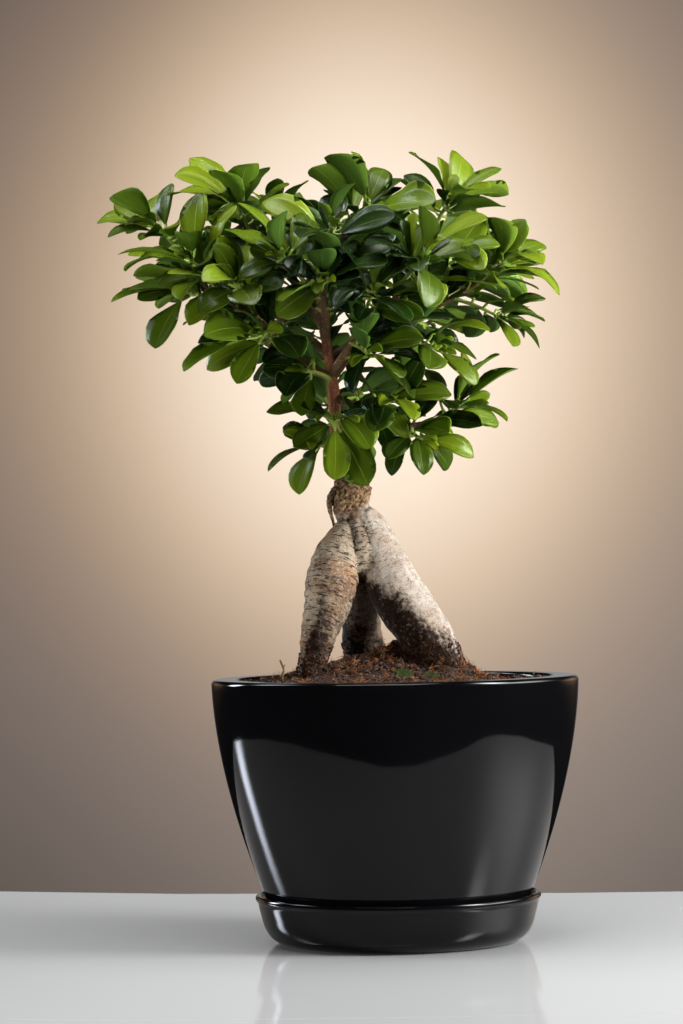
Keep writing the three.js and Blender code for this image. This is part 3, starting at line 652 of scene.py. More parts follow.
def sheathed(graph, lines, sides, knots, knot_size):
    """Round skins along lines, as thick as the lines say, with lumps of `knots` in height."""
    lines = graph.node("GeometryNodeMeshToCurve", {0: lines})
    circle = graph.node("GeometryNodeCurvePrimitiveCircle", {"Resolution": sides, "Radius": 1.0})
    feeds = {"Curve": lines, "Profile Curve": circle, "Scale": graph.carried("radius"), "Fill Caps": True}
    skin = graph.node("GeometryNodeCurveToMesh", feeds)
    place = graph.node("GeometryNodeInputPosition")
    lump = graph.noise(place, graph.math("DIVIDE", 1.0, knot_size), 2) - 0.5
    out = graph.scaled(graph.node("GeometryNodeInputNormal"), lump * knots)
    return graph.node("GeometryNodeSetPosition", {"Geometry": skin, "Offset": out})


def bent_blades(graph, points, blade):
    """A blade on every leaf point, turned its way, then arched, folded, waved and twisted."""
    c = graph.carried
    heading, face = c("heading", "FLOAT_VECTOR"), c("face", "FLOAT_VECTOR")
    turn = graph.node("FunctionNodeAxesToRotation", {"Primary Axis": heading, "Secondary Axis": face},
                      primary_axis="X", secondary_axis="Z")
    info = graph.node("GeometryNodeObjectInfo", {"Object": blade}, out=4)
    size = graph.joined(c("reach"), c("half_width"), c("thick"))
    feeds = {"Points": points, "Selection": graph.math("GREATER_THAN", c("reach"), 0.0),
             "Instance": info, "Rotation": turn, "Scale": size}
    blades = graph.node("GeometryNodeInstanceOnPoints", feeds)
    blades = graph.node("GeometryNodeRealizeInstances", {0: blades})
    t, v = c("leaf_t"), c("leaf_v")
    away = graph.math("ABSOLUTE", v)
    sine = graph.math("SINE", t * 11.0 + c("tone") * 40.0 + v * 1.5)
    rise = c("reach") * (4.0 * c("arch") * t * (1.0 - t) - c("curl") * t**4.0)
    cup = c("half_width") * (c("fold") * away**1.4 * (1.0 - 0.35 * t) + c("wave") * sine * v * v)
    lift = rise + cup + c("half_width") * c("twist") * v * t
    across = graph.vector("CROSS_PRODUCT", face, heading)
    sway = graph.scaled(across, c("reach") * c("sway") * t * t)
    offset = graph.vector("ADD", graph.scaled(face, lift), sway)
    return graph.node("GeometryNodeSetPosition", {"Geometry": blades, "Offset": offset})


def spray_tree():
    """Blades on the host's leaf points and twigs along its edges."""
    graph, given = new_tree("spray", blade="Object", sides="Int", knots="Float", knot_size="Float",
                            leaf_finish="Material", twig_finish="Material")
    blades = bent_blades(graph, given["geometry"], given["blade"])
    twigs = sheathed(graph, given["geometry"], given["sides"], given["knots"], given["knot_size"])
    return end_tree(graph, smooth_in(graph, blades, given["leaf_finish"]),
                    smooth_in(graph, twigs, given["twig_finish"]))


def wood_tree():
    """Knotty wood along the host's edges."""
    graph, given = new_tree("wood", sides="Int", knots="Float", knot_size="Float", finish="Material")
    wood = sheathed(graph, given["geometry"], given["sides"], given["knots"], given["knot_size"])
    return end_tree(graph, smooth_in(graph, wood, given["finish"]))


def strewn_tree():
    """Copies of a small thing, laid on the host and tilted at random. They keep above `floor`
    and thin out from the height `dense` to `bare`."""
    graph, given = new_tree("strewn", thing="Object", per_area="Float", seed="Int", floor="Float",
                            dense="Float", bare="Float", tilt="Float", smallest="Float",
                            largest="Float", finish="Material")
    _, _, height = graph.axes(graph.node("GeometryNodeInputPosition"))
    thinned = graph.step(height, given["bare"], given["dense"])
    density = given["per_area"] * thinned * graph.math("GREATER_THAN", height, given["floor"])
    feeds = {"Mesh": given["geometry"], "Density": density, "Seed": given["seed"]}
    points = graph.node("GeometryNodeDistributePointsOnFaces", feeds)
    normal = Wire(graph, points.socket.node.outputs["Normal"])

    def draw(kind, low, high, nth):
        out = {"FLOAT_VECTOR": 0, "FLOAT": 1}[kind]
        ends = {"FLOAT_VECTOR": ("Min", "Max"), "FLOAT": ("Min_001", "Max_001")}[kind]
        feeds = {ends[0]: low, ends[1]: high, "Seed": given["seed"] + float(nth)}
        return graph.node("FunctionNodeRandomValue", feeds, out=out, data_type=kind)

    tone = {"Geometry": points, "Name": "tone", "Value": draw("FLOAT", 0.0, 1.0, 1)}
    points = graph.node("GeometryNodeStoreNamedAttribute", tone)
    tilt, full_turn = given["tilt"], 2 * math.pi
    lean = draw("FLOAT_VECTOR", graph.joined(0.0 - tilt, 0.0 - tilt, 0.0),
                graph.joined(tilt, tilt, full_turn), 2)
    stand = graph.node("FunctionNodeAlignRotationToVector", {"Vector": normal}, axis="Z")
    lean = graph.node("FunctionNodeEulerToRotation", {0: lean})
    turn = graph.node("FunctionNodeRotateRotation", {0: stand, 1: lean}, rotation_space="LOCAL")
    small, large = given["smallest"], given["largest"]
    size = draw("FLOAT_VECTOR", graph.joined(small, small, small), graph.joined(large, large, large), 3)
    thing = graph.node("GeometryNodeObjectInfo", {"Object": given["thing"]}, out=4)
    feeds = {"Points": points, "Instance": thing, "Rotation": turn, "Scale": size}
    things = graph.node("GeometryNodeInstanceOnPoints", feeds)
    return end_tree(graph, smooth_in(graph, things, given["finish"]))


def grown(name, host, tree, **inputs):
    """A piece that a geometry tree grows from a host mesh, as a plain mesh."""
    piece = linked(name, host)
    modifier = piece.modifiers.new(name, "NODES")
    modifier.node_group = tree
    for item in tree.interface.items_tree:
        if item.in_out == "INPUT" and item.name in inputs:
            modifier[item.identifier] = inputs[item.name]
    return made_plain(piece)


# ---------------------------------------------------------------- pot and saucer

POT_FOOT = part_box("pot")[0].z / MM
RIM_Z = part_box("pot")[1].z / MM
RIM_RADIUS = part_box("pot")[1].x / MM
POT_HEIGHT = RIM_Z - POT_FOOT
INNER_RIM = RIM_RADIUS - POT["rim_width"]
SOIL_EDGE = RIM_Z - SOIL["below_rim"]


def pot_radius(z):
    depth = (RIM_Z - z) / POT_HEIGHT
    return RIM_RADIUS - (RIM_RADIUS - POT["foot_radius"]) * depth ** POT["bulge"]


def pot_inside(z):
    return min(INNER_RIM, pot_radius(z) - POT["wall"])


def thrown_pot(finish):
    """The pot: its bulging wall, flat rim, filled inside, foot ring and drain hole."""
    edge, foot, drain = POT["rim_edge"], POT["foot_radius"], POT["drain_radius"]
    wall_top, floor = RIM_Z - edge, POT_FOOT + POT["floor"]
    step, inner_foot = POT_FOOT + POT["foot_step"], foot - POT["foot_ring"]
    outside = [(pot_radius(z), z) for z in (mix(POT_FOOT, wall_top, i / 44) for i in range(1, 44))]
    rim = [*arc((RIM_RADIUS - edge, wall_top), edge, 0, 90),
           *arc((INNER_RIM + edge, wall_top), edge, 90, 180)]
    inside = [(pot_inside(z), z) for z in (mix(wall_top - edge, floor + 9, i / 24) for i in range(25))]
    underside = [  # through the drain hole and round the foot ring, each edge a little rounded
        (pot_inside(floor) - 6, floor), (drain + 1, floor), (drain, floor - 1), (drain, step + 1),
        (drain + 1, step), (inner_foot - 2, step), (inner_foot, POT_FOOT + 0.8),
        (inner_foot + 0.8, POT_FOOT), (foot - 1.2, POT_FOOT), (foot - 0.2, POT_FOOT + 0.8),
    ]
    profile = [*outside, *rim, *inside, *underside]
    body = turned("pot_body", [*profile, profile[0]], POT["sides"])
    return settled(body, "glaze", "pot", finish=finish)


def thrown_saucer(finish):
    """The saucer: a dish that widens to its thin lip."""
    out, foot, floor = SAUCER["radius"], SAUCER["foot_radius"], SAUCER["floor"]
    inner = out - SAUCER["wall"]
    outside = curve_through([(foot - 0.5, 0.2, 0), (foot + 3.5, 0.7, 0), (out - 9, 4, 0),
                             (out - 5.4, 9.5, 0), (out - 3.1, 17, 0), (out - 1.5, 23.5, 0)], 8)
    lip = curve_through([(out - 1.1, 25, 0), (out - 0.2, 26, 0), (out, 27.2, 0), (out - 0.5, 28.5, 0),
                         (out - 1.8, 29, 0), (out - 3.2, 28.6, 0), (out - 4.2, 26.8, 0),
                         (inner - 1.2, 21, 0), (inner - 5.6, floor + 2.2, 0), (inner - 9, floor, 0)], 6)
    underside = [(0, 1.2), (foot - 9, 1.2), (foot - 7, 0), (foot - 2, 0)]
    profile = [*underside, *((p.x, p.y) for p in [*outside, *lip]), (0, floor)]
    dish = turned("saucer_dish", profile, SAUCER["sides"])
    return settled(dish, "glaze", "saucer", finish=finish)


# ---------------------------------------------------------------- soil and what lies on it


def soil_height(x, y):
    """The height of the soil's top, in millimetres, mounded and a little uneven."""
    rise = sum(height * math.exp(-((x - mx) ** 2 + (y - my) ** 2) / (2 * spread**2))
               for mx, my, height, spread in SOIL["mounds"])
    rough = sum(depth * noise.noise(Vector((x, y, 9 * depth)) / size) for depth, size in SOIL["rough"])
    return SOIL_EDGE + rise + rough


def soil_top(radius, rings, sides):
    """Corners of the soil's top, ring by ring from the middle."""
    yield Vector((0, 0, soil_height(0, 0)))
    for ring in range(1, rings + 1):
        for side in range(sides):
            angle, reach = 2 * math.pi * side / sides, radius * ring / rings
            x, y = reach * math.cos(angle), reach * math.sin(angle)
            yield Vector((x, y, soil_height(x, y)))


def soil_bed(name, finish):
    """The soil: an uneven top, and a plain body that fills the pot below it."""
    shape, gap = bmesh.new(), SOIL["wall_gap"]
    rings, sides = SOIL["rings"], SOIL["sides"]
    radius = pot_inside(SOIL_EDGE) - gap
    corners = [shape.verts.new(place * MM) for place in soil_top(radius, rings, sides)]
    outer = corners[-sides:]
    levels = [*SOIL["levels"], POT_HEIGHT - POT["floor"] - SOIL["above_floor"]]
    for depth in levels:
        z = SOIL_EDGE - depth
        shrunk = (pot_inside(z) - gap) / radius
        corners += [shape.verts.new((v.co.x * shrunk, v.co.y * shrunk, z * MM)) for v in outer]
    for side in range(sides):
        after = (side + 1) % sides
        shape.faces.new((corners[0], corners[1 + side], corners[1 + after]))
        for ring in range(rings + len(levels) - 1):
            near, far = 1 + ring * sides, 1 + (ring + 1) * sides
            shape.faces.new([corners[i] for i in (near + side, far + side, far + after, near + after)])
    shape.faces.new(reversed(corners[-sides:]))
    mesh = mesh_of(name, shape, outwards=True)
    mesh.shade_smooth()
    return settled(linked(name, mesh), "peat", "soil", finish=finish)


def thing(name, places, faces):
    """A small thing to strew, left in the scene until it is dropped again."""
    mesh = bpy.data.meshes.new(name)
    mesh.from_pydata([Vector(place) * MM for place in places], [], faces)
    return linked(name, mesh)


def crumb(name, rough):
    """An uneven grain, about 1 across."""
    shape = bmesh.new()
    bmesh.ops.create_icosphere(shape, subdivisions=1, radius=0.5 * MM)
    for vert in shape.verts:
        vert.co *= 1 + rough * noise.noise(vert.co * 3100)
    return linked(name, mesh_of(name, shape))


def thread(name, line, radius):
    """A thin three-sided thread along a line, pointed at both ends."""
    places, faces = [], []
    for i, place in enumerate(line):
        ahead = (line[min(i + 1, len(line) - 1)] - line[max(i - 1, 0)]).normalized()
        side = ahead.cross(Vector((0, 0, 1))).normalized()
        thick = radius * math.sin(math.pi * (i + 0.3) / (len(line) - 0.4))
        for k in range(3):
            places.append(place + Matrix.Rotation(k * 2 * math.pi / 3, 3, ahead) @ side * thick)
    for i in range(0, 3 * (len(line) - 1), 3):
        faces += [(i + k, i + (k + 1) % 3, i + 3 + (k + 1) % 3, i + 3 + k) for k in range(3)]
    return thing(name, places, [(2, 1, 0), *faces, tuple(len(places) - 3 + k for k in range(3))])


def fibre(name, bend):
    """A peat fibre that bends this far to one side, and a little up and down."""
    half = 4.5
    line = [Vector((x, bend * (1 - (x / half) ** 2), 0.25 * math.sin(x)))
            for x in (-half, -2.6, -0.8, 1, 2.8, half)]
    return thread(name, line, 0.16)


def moss_sprig():
    """A sprig of moss: a short stalk with pointed leaves round it."""
    places, faces = [], []
    for k in range(9):
        turn, low = k * LEAF["turn"], 0.25 * k
        out = Vector((math.cos(turn), math.sin(turn), 0))
        side = out.cross(Vector((0, 0, 1))) * 0.22
        first = len(places)
        root, tip = Vector((0, 0, low)), out * 1.1 + Vector((0, 0, low + 0.9))
        middle = root.lerp(tip, 0.45)
        places += [root, middle + side, tip, middle - side, middle + Vector((0, 0, 0.12))]
        faces += [(first + a, first + b, first + c) for a, b, c in
                  ((0, 1, 4), (1, 2, 4), (2, 3, 4), (3, 0, 4), (1, 0, 3), (2, 1, 3))]
    return thing("moss_sprig", places, faces)


def dropped(*things):
    """Takes the patterns that were strewn out of the scene again."""
    for pattern in things:
        bpy.data.objects.remove(pattern)


def patch_of(mesh, x, y, radius):
    """A copy of the part of a mesh that lies near a place, seen from above."""
    shape = bmesh.new()
    shape.from_mesh(mesh)
    middle = Vector((x, y, 0)) * MM
    lowest = (RIM_Z - SOIL["top_within"]) * MM
    far = [face for face in shape.faces
           if face.calc_center_median().z < lowest
           or (face.calc_center_median() - middle).xy.length > radius * MM]
    bmesh.ops.delete(shape, geom=far, context="FACES")
    return mesh_of("patch", shape)


def loose_peat(soil, roots, finishes):
    """Crumbs, clods, fibres and moss strewn on the soil, and peat that clings to the roots."""
    tree = strewn_tree()
    things = {"crumb": crumb("crumb", 0.45), "clod": crumb("clod", 0.7), "sprig": moss_sprig(),
              "straw": fibre("straw", 0.5), "hair": fibre("hair", 2.2)}
    below_all, above_all = (SOIL_EDGE - 8) * MM, (RIM_Z + 40) * MM
    everywhere = {"floor": below_all, "dense": above_all, "bare": above_all + 1}
    clinging = {"floor": SOIL_EDGE * MM, "dense": (RIM_Z + CLINGING["thins_from"]) * MM,
                "bare": (RIM_Z + CLINGING["ends"]) * MM}
    for nth, (name, on, pattern, finish, per_area, tilt, smallest, largest) in enumerate(STREWN):
        whole = {"soil": soil.data, "roots": roots.data}
        host = whole[on].copy() if on in whole else patch_of(soil.data, *on)
        where = clinging if on == "roots" else everywhere
        piece = grown(name, host, tree, thing=things[pattern], per_area=per_area, seed=10 * nth,
                      tilt=tilt, smallest=smallest, largest=largest, finish=finishes[finish], **where)
        settled(piece, "peat")
    dropped(*things.values())


def fallen_twig(tree, finish):
    """A dead bit of twig that stands in the soil."""
    growth = Growth()
    line, radius = curve_through(FALLEN_TWIG["line"], 4), FALLEN_TWIG["radius"]
    growth.line(line, [mix(*radius, i / len(line)) for i in range(len(line))], thin=1)
    fork = [line[FALLEN_TWIG["forks_at"]] + Vector(step) for step in FALLEN_TWIG["fork"]]
    growth.line(fork, FALLEN_TWIG["fork_radii"], thin=1)
    piece = grown("fallen_twig", growth.mesh("fallen"), tree, sides=7, knots=0.4 * MM,
                  knot_size=1.5 * MM, finish=finish)
    return settled(piece, "bark")


# ---------------------------------------------------------------- roots, graft and branches

RINGED = {"left": 1.0, "right": 0.28, "back": 0.8, "fork": 1.0, "graft": 0.3}  # how ringed the bark is
STAIN_SHADE_HEIGHTS = {  # how high soil stains and painted shade reach, where (x of the normal) they reach highest, their fall left and right of it, least; highest on the side turned from the light, as painted shade
    "left": (219, -0.25, 80, 36, 180),
    "right": (240, -0.95, 0, 31, 193),
    "back": (214, -0.95, 0, 18, 188),
    "fork": (230, 0.5, 8, 8, 200),
    "graft": (0, 0, 0, 0, 0),
}
BARK = {"voxel": 0.85, "soften": 16, "swell": 0.25, "swell_gap": 7.5, "crease_within": 1.6,
        "crease": 0.7, "neck": 1.2}
RELIEF = {  # how high each kind of unevenness is, and how fine (1 / its size)
    "lump": (1.2, 0.05), "knot": (0.5, 0.14), "grain": (0.16, 0.5), "wart": (2.2, 0.16),
    "blister": (1.5, 0.42), "crumble": (0.7, 1.1), "stain_shade_edge": (13, 0.12), "underside_shade_edge": (0.3, 0.12),
}
# How soil stains and painted shade spread on the roots: the stain's fade, painted shade on down-turned
# faces low on the roots, in the groove between roots, over the fork and round the knob's neck.
STAIN_SHADE = {"over": 26, "skyward": 1.6, "least": 0.1, "stain_shade_below": 242, "stain_shade_over": 22,
          "groove": 0.5, "groove_below": 258, "groove_over": 6, "fork": 0.22, "neck": 0.55}
KNOB = {"middle": (-24.8, 0, 264.5), "half_width": 12.2, "half_height": 14.5}


def clamped(value):
    return min(max(value, 0.0), 1.0)


def limb(shape, line, sides=20):
    """Adds a closed round limb along a line of x, y, z and radius."""
    rings = []
    for i, station in enumerate(line):
        ahead = (line[min(i + 1, len(line) - 1)].xyz - line[max(i - 1, 0)].xyz).normalized()
        side = ahead.cross(Vector((0, 1, 0))).normalized()
        turns = [Matrix.Rotation(2 * math.pi * k / sides, 3, ahead) @ side for k in range(sides)]
        rings.append([shape.verts.new((station.xyz + turn * station.w) * MM) for turn in turns])
    for near, far in zip(rings, rings[1:]):
        for k in range(sides):
            after = (k + 1) % sides
            shape.faces.new((near[k], near[after], far[after], far[k]))
    shape.faces.new(reversed(rings[0]))
    shape.faces.new(rings[-1])


def root_axes():
    """A search tree over the roots' axes, and each sample's place, root, length and heading."""
    samples = []
    for name, stations in ROOTS.items():
        line, length = curve_through(stations, 12), 0.0
        for before, here in zip([line[0], *line], line):
            step = here.xyz - before.xyz
            length += step.length
            samples.append((here, name, length, step.normalized()))
    tree = kdtree.KDTree(len(samples))
    for i, sample in enumerate(samples):
        tree.insert(sample[0].xyz, i)
    tree.balance()
    return tree, samples


def stain_shade_height(name, rightwards):
    """How high soil stains and painted shade reach on a root, where its skin looks this far to the
    right: highest on the side turned from the light, as painted shade.
    """
    peak, middle, left_fall, right_fall, least = STAIN_SHADE_HEIGHTS[name]
    fall = right_fall if rightwards > middle else left_fall
    return max(least, peak - fall * abs(rightwards - middle))


def off_knob(place):
    """How far a place is from the knob's middle, 1 at its edge, and less anywhere above."""
    gap = place - Vector(KNOB["middle"])
    return math.hypot(gap.xy.length / KNOB["half_width"], min(gap.z, 0) / KNOB["half_height"])


def uneven(place, kind):
    height, fine = RELIEF[kind]
    return height * noise.noise(place * fine)


def bark_relief(place, name, length, normal, crease):
    """The bark's height above the smooth root, and its along, ringed, knob and stain-and-shade
    values: soil stains at the feet, with painted shade below, in the groove between roots,
    round the knob's neck and on the side turned from the light. `crease` is 1 in the groove
    between two roots."""
    edge = off_knob(place)
    above = clamped((place.z - KNOB["middle"][2]) / 3)
    knob = max(clamped((1.05 - edge) / 0.08), above)
    neck = clamped(1 - abs(edge - 1.12) / 0.16) * (1 - above)
    swell = math.sin(2 * math.pi * length / BARK["swell_gap"] + 4 * noise.noise(place * 0.05))
    lump = uneven(place, "lump") + uneven(place, "knot") + BARK["swell"] * RINGED[name] * swell
    wart = uneven(place, "wart") + abs(uneven(place, "blister")) + uneven(place, "crumble")
    rise = mix(lump + uneven(place, "grain"), wart, knob) - BARK["neck"] * neck - BARK["crease"] * crease
    # Soil stain up to a height that is higher on the side turned from the light: that part is painted
    # shade.
    base = (stain_shade_height(name, normal.x) - place.z + uneven(place, "stain_shade_edge")) / STAIN_SHADE["over"]
    # Painted shade on faces that look down, low on the roots, with some soil stain.
    below = uneven(place, "underside_shade_edge") - STAIN_SHADE["skyward"] * normal.z - STAIN_SHADE["least"]
    below *= clamped((STAIN_SHADE["stain_shade_below"] - place.z) / STAIN_SHADE["stain_shade_over"])
    # Painted shade in the groove between two roots, and a little over the whole fork, set back between
    # them.
    between = STAIN_SHADE["groove"] * crease
    between *= clamped((STAIN_SHADE["groove_below"] - place.z) / STAIN_SHADE["groove_over"])
    between += STAIN_SHADE["fork"] if name == "fork" else 0
    # The groove round the knob's neck gets painted shade too.
    soiled = clamped(max(base, below, STAIN_SHADE["neck"] * neck, between))
    return rise, length, RINGED[name], knob, soiled


def swollen_roots(finish):
    """The roots and the graft knob as one grown skin, with rings, lumps and warts."""
    shape = bmesh.new()
    for stations in ROOTS.values():
        limb(shape, curve_through(stations, 8))
    piece = linked("roots", mesh_of("roots", shape))
    skin = piece.modifiers.new("skin", "REMESH")
    skin.mode, skin.voxel_size, skin.use_smooth_shade = "VOXEL", BARK["voxel"] * MM, True
    soften = piece.modifiers.new("soften", "SMOOTH")
    soften.factor, soften.iterations = 0.5, BARK["soften"]
    mesh = made_plain(piece).data
    tree, samples = root_axes()
    carried = {key: [] for key in ("along", "ringed", "knob", "soiled")}
    moved = []
    for vert in mesh.vertices:
        place = vert.co / MM
        nearby = [(gap - samples[i][0].w, i) for _, i, gap in tree.find_n(place, 24)]
        depth, nearest = min(nearby)
        here, name, length, ahead = samples[nearest]
        length += (place - here.xyz).dot(ahead)
        others = [gap for gap, i in nearby if samples[i][1] != name]
        crease = clamped(1 - (min(others) - depth) / BARK["crease_within"]) if others else 0
        rise, *values = bark_relief(place, name, length, vert.normal, crease)
        moved.append(vert.co + vert.normal * rise * MM)
        for key, value in zip(carried, values):
            carried[key].append(value)
    mesh.vertices.foreach_set("co", [number for place in moved for number in place])
    for key, values in carried.items():
        mesh.attributes.new(key, "FLOAT", "POINT").data.foreach_set("value", values)
    mesh.update()
    return settled(piece, "bark", "trunk", finish=finish)


class Growth:
    """The leaf points and twig lines that a tree grows from, with the values they carry."""

    NUMBERS = ("radius", "thin", "reach", "half_width", "thick", "arch", "curl", "fold", "wave",
               "twist", "sway", "young", "tone")
    VECTORS = ("heading", "face")

    def __init__(self):
        self.places, self.edges, self.rows = [], [], []

    def point(self, place, **values):
        self.places.append(place * MM)
        self.rows.append(values)

    def line(self, places, radii, **values):
        first = len(self.places)
        for place, radius in zip(places, radii):
            self.point(place, radius=radius * MM, **values)
        self.edges += [(i, i + 1) for i in range(first, len(self.places) - 1)]

    def mesh(self, name):
        mesh = bpy.data.meshes.new(name)
        mesh.from_pydata(self.places, self.edges, [])
        for key in self.NUMBERS:
            layer = mesh.attributes.new(key, "FLOAT", "POINT")
            layer.data.foreach_set("value", [row.get(key, 0.0) for row in self.rows])
        for key in self.VECTORS:
            layer = mesh.attributes.new(key, "FLOAT_VECTOR", "POINT")
            flat = [number for row in self.rows for number in row.get(key, (0, 0, 1))]
            layer.data.foreach_set("vector", flat)
        return mesh


def branch_line(name):
    return curve_through(BRANCHES[name][2], 14)


def branching_wood(tree, finish):
    """The stem and its branches, with rings of old leaf scars and a flare on the graft."""
    growth = Growth()
    for name, (thick, fine, _) in BRANCHES.items():
        line = branch_line(name)
        draw = random.Random(name)
        gap, first = draw.uniform(*SCAR["gap"]), draw.uniform(*SCAR["first"])
        length, radii = 0.0, []
        for i, place in enumerate(line):
            length += (place - line[max(i - 1, 0)]).length
            scar = clamped(1 - abs((length + first) % gap - gap / 2) / SCAR["half_width"])
            flare = clamped((FLARE["below"] - place.z) / FLARE["over"]) ** 2 if name == "stem" else 0
            radius = mix(thick, fine, i / (len(line) - 1)) * (1 + SCAR["swell"] * scar)
            radii.append(radius + FLARE["wider"] * flare)
        for i, place in enumerate(line):
            thin = clamped((2.7 - radii[i]) / 1.2) if name == "stem" else 0.8
            growth.point(place, radius=radii[i] * MM, thin=thin)
        last = len(growth.places)
        growth.edges += [(i, i + 1) for i in range(last - len(line), last - 1)]
    piece = grown("stem_and_branches", growth.mesh("wood"), tree, sides=14, knots=0.6 * MM,
                  knot_size=5 * MM, finish=finish)
    return settled(piece, "bark", "trunk")


def bark_curl(finish):
    """A flap of dead bark that curls off the graft: a gutter, open to the graft."""
    shape = bmesh.new()
    line, turns = curve_through(CURL["line"], 6), CURL["turns"]
    rows = []
    for i, place in enumerate(line):
        ragged = 1 + CURL["ragged"] * noise.noise(place.xyz * 0.5)
        row = []
        for turn in turns:
            way = Vector((-math.cos(math.radians(turn)), -math.sin(math.radians(turn)) * CURL["deeper"], 0))
            tongue = i == len(line) - 1 and abs(turn) < 50  # the middle of its end hangs lower
            drop = Vector((0, 0, -CURL["tongue"])) if tongue else Vector()
            row.append(shape.verts.new((place.xyz + way * place.w * ragged + drop) * MM))
        rows.append(row)
    for near, far in zip(rows, rows[1:]):
        for k in range(len(turns) - 1):
            shape.faces.new((near[k], far[k], far[k + 1], near[k + 1]))
    mesh = mesh_of("bark_curl", shape, outwards=True)
    mesh.shade_smooth()
    piece = linked("bark_curl", mesh)
    wall = piece.modifiers.new("wall", "SOLIDIFY")
    wall.thickness, wall.offset = CURL["thick"] * MM, 0
    mesh = made_plain(piece).data
    for key, value in CURL["carries"].items():
        mesh.attributes.new(key, "FLOAT", "POINT").data.foreach_set("value", [value] * len(mesh.vertices))
    return settled(piece, "bark", finish=finish)


# ---------------------------------------------------------------- leaves

Leaf = namedtuple("Leaf", "start tip face half_width arch")


def blade_pattern():
    """One blade, 1 long and 1 in half width: a closed lens with a shared margin. It carries its
    place along (leaf_t) and across (leaf_v), and its UV map tells upper from under side."""
    shape = bmesh.new()
    t_layer = shape.verts.layers.float.new("leaf_t")
    v_layer = shape.verts.layers.float.new("leaf_v")
    uv = shape.loops.layers.uv.new("UVMap")

    def column(v, side):
        for t, width in LEAF["outline"]:
            vert = shape.verts.new((t, v * width, side * 0.5 * (1 - v * v) * min(1, 4 * width)))
            vert[t_layer], vert[v_layer] = t, v * width
            yield vert, t, v

    top = [list(column(v, 1)) for v in (-1, -0.5, 0, 0.5, 1)]
    under = [top[0], *(list(column(v, -1)) for v in (-0.5, 0, 0.5)), top[-1]]
    for strips, lift, flip in ((top, 0, False), (under, 3, True)):
        for left, right in zip(strips, strips[1:]):
            for i in range(len(left) - 1):
                corners = [left[i], left[i + 1], right[i + 1], right[i]]
                corners = corners[::-1] if flip else corners
                face = shape.faces.new([vert for vert, _, _ in corners])
                for loop, (_, t, v) in zip(face.loops, corners):
                    loop[uv].uv = (t, v + lift)
    for end, flip in ((0, True), (-1, False)):
        rim = [line[end][0] for line in [*top, *under[-2:0:-1]]]
        shape.faces.new(rim[::-1] if flip else rim)
    return linked("blade", mesh_of("blade", shape))


def corners_beyond(ring, known):
    """The corners next to a ring that aren't known yet, in the order of the mesh."""
    beyond = {edge.other_vert(vert) for vert in ring for edge in vert.link_edges}
    return sorted((vert for vert in beyond if vert not in known), key=lambda vert: vert.index)


def section(ring):
    """A leaf solid's section: its middle, its half width and the way its face looks."""
    a, b, c = (vert.co / MM for vert in ring)
    left, right, under = max(((a, b, c), (b, c, a), (c, a, b)), key=lambda s: (s[0] - s[1]).length)
    middle = (left + right) / 2
    return (middle + under) / 2, (left - right).length / 2, (middle - under).normalized()


def solid_leaves(node):
    """The leaves of a shoot's solid. A tip is a corner where three edges meet, and behind it
    lie its sections, three corners each: two across the blade, then one of the stalk."""
    shape = bmesh.new()
    shape.from_mesh(node.data)
    bmesh.ops.remove_doubles(shape, verts=shape.verts, dist=0.02 * MM)
    shape.verts.index_update()
    for vert in shape.verts:
        if len(vert.link_edges) != 3:
            continue
        known, rings = [vert], [[vert]]
        while len(rings) < 4:
            ring = corners_beyond(rings[-1], known)
            if len(ring) != 3:
                break
            known += ring
            rings.append(ring)
        if len(rings) < 3:
            continue
        tip = vert.co / MM
        middle, half_width, face = section(rings[2])
        start = tip + (middle - tip) * 1.5
        if len(rings) == 4:
            start = sum((corner.co for corner in rings[3]), Vector()) / 3 / MM
        chord = tip - start
        share = (middle - start).dot(chord) / chord.length_squared
        bow = (middle - start - share * chord).dot(face)
        yield Leaf(start, tip, face, half_width, bow / (4 * share * (1 - share) * chord.length))
    shape.free()


def facing(place, chord, roll):
    """The way a leaf looks: up, out of the crown and a little to the nearer front or back."""
    away = (place - Vector(LEAF["heart"])).normalized()
    face = Vector((0, math.copysign(LEAF["front"], place.y), LEAF["up"])) + LEAF["away"] * away
    face = (face - chord * face.dot(chord)).normalized()
    return Matrix.Rotation(roll, 3, chord) @ face


def hides_stem(leaf):
    """Whether a leaf would hang before the stem, where the solids leave the view free."""
    low, high = (Vector(corner) for corner in LEAF["stem_view"])
    reach = 0.6 * leaf.half_width
    return any(low.x - reach < place.x < high.x + reach and place.y < high.y and low.z < place.z < high.z
               for place in (leaf.start.lerp(leaf.tip, share) for share in (0.1, 0.4, 0.7, 1)))


def sprung_leaf(draw, line, share, turn, spread, reach, slim=1.0):
    """A leaf that springs from a line at a share of it, turned round it and spread from it."""
    base, ahead = place_at(line, share), heading_at(line, share)
    side = Vector((0, 0, 1)).cross(ahead).normalized()
    out = side * math.cos(turn) + ahead.cross(side) * math.sin(turn)
    out = out * math.sin(spread) + ahead * math.cos(spread)
    out.z = LEAF["level"] * out.z + LEAF["lift"]
    out.normalize()
    start, tip = base + out * reach * LEAF["stalk_share"], base + out * reach
    face = facing(tip, out, draw.uniform(*LEAF["roll"]))
    return Leaf(start, tip, face, LEAF["slender"] * reach * slim, draw.uniform(*LEAF["bow"]))


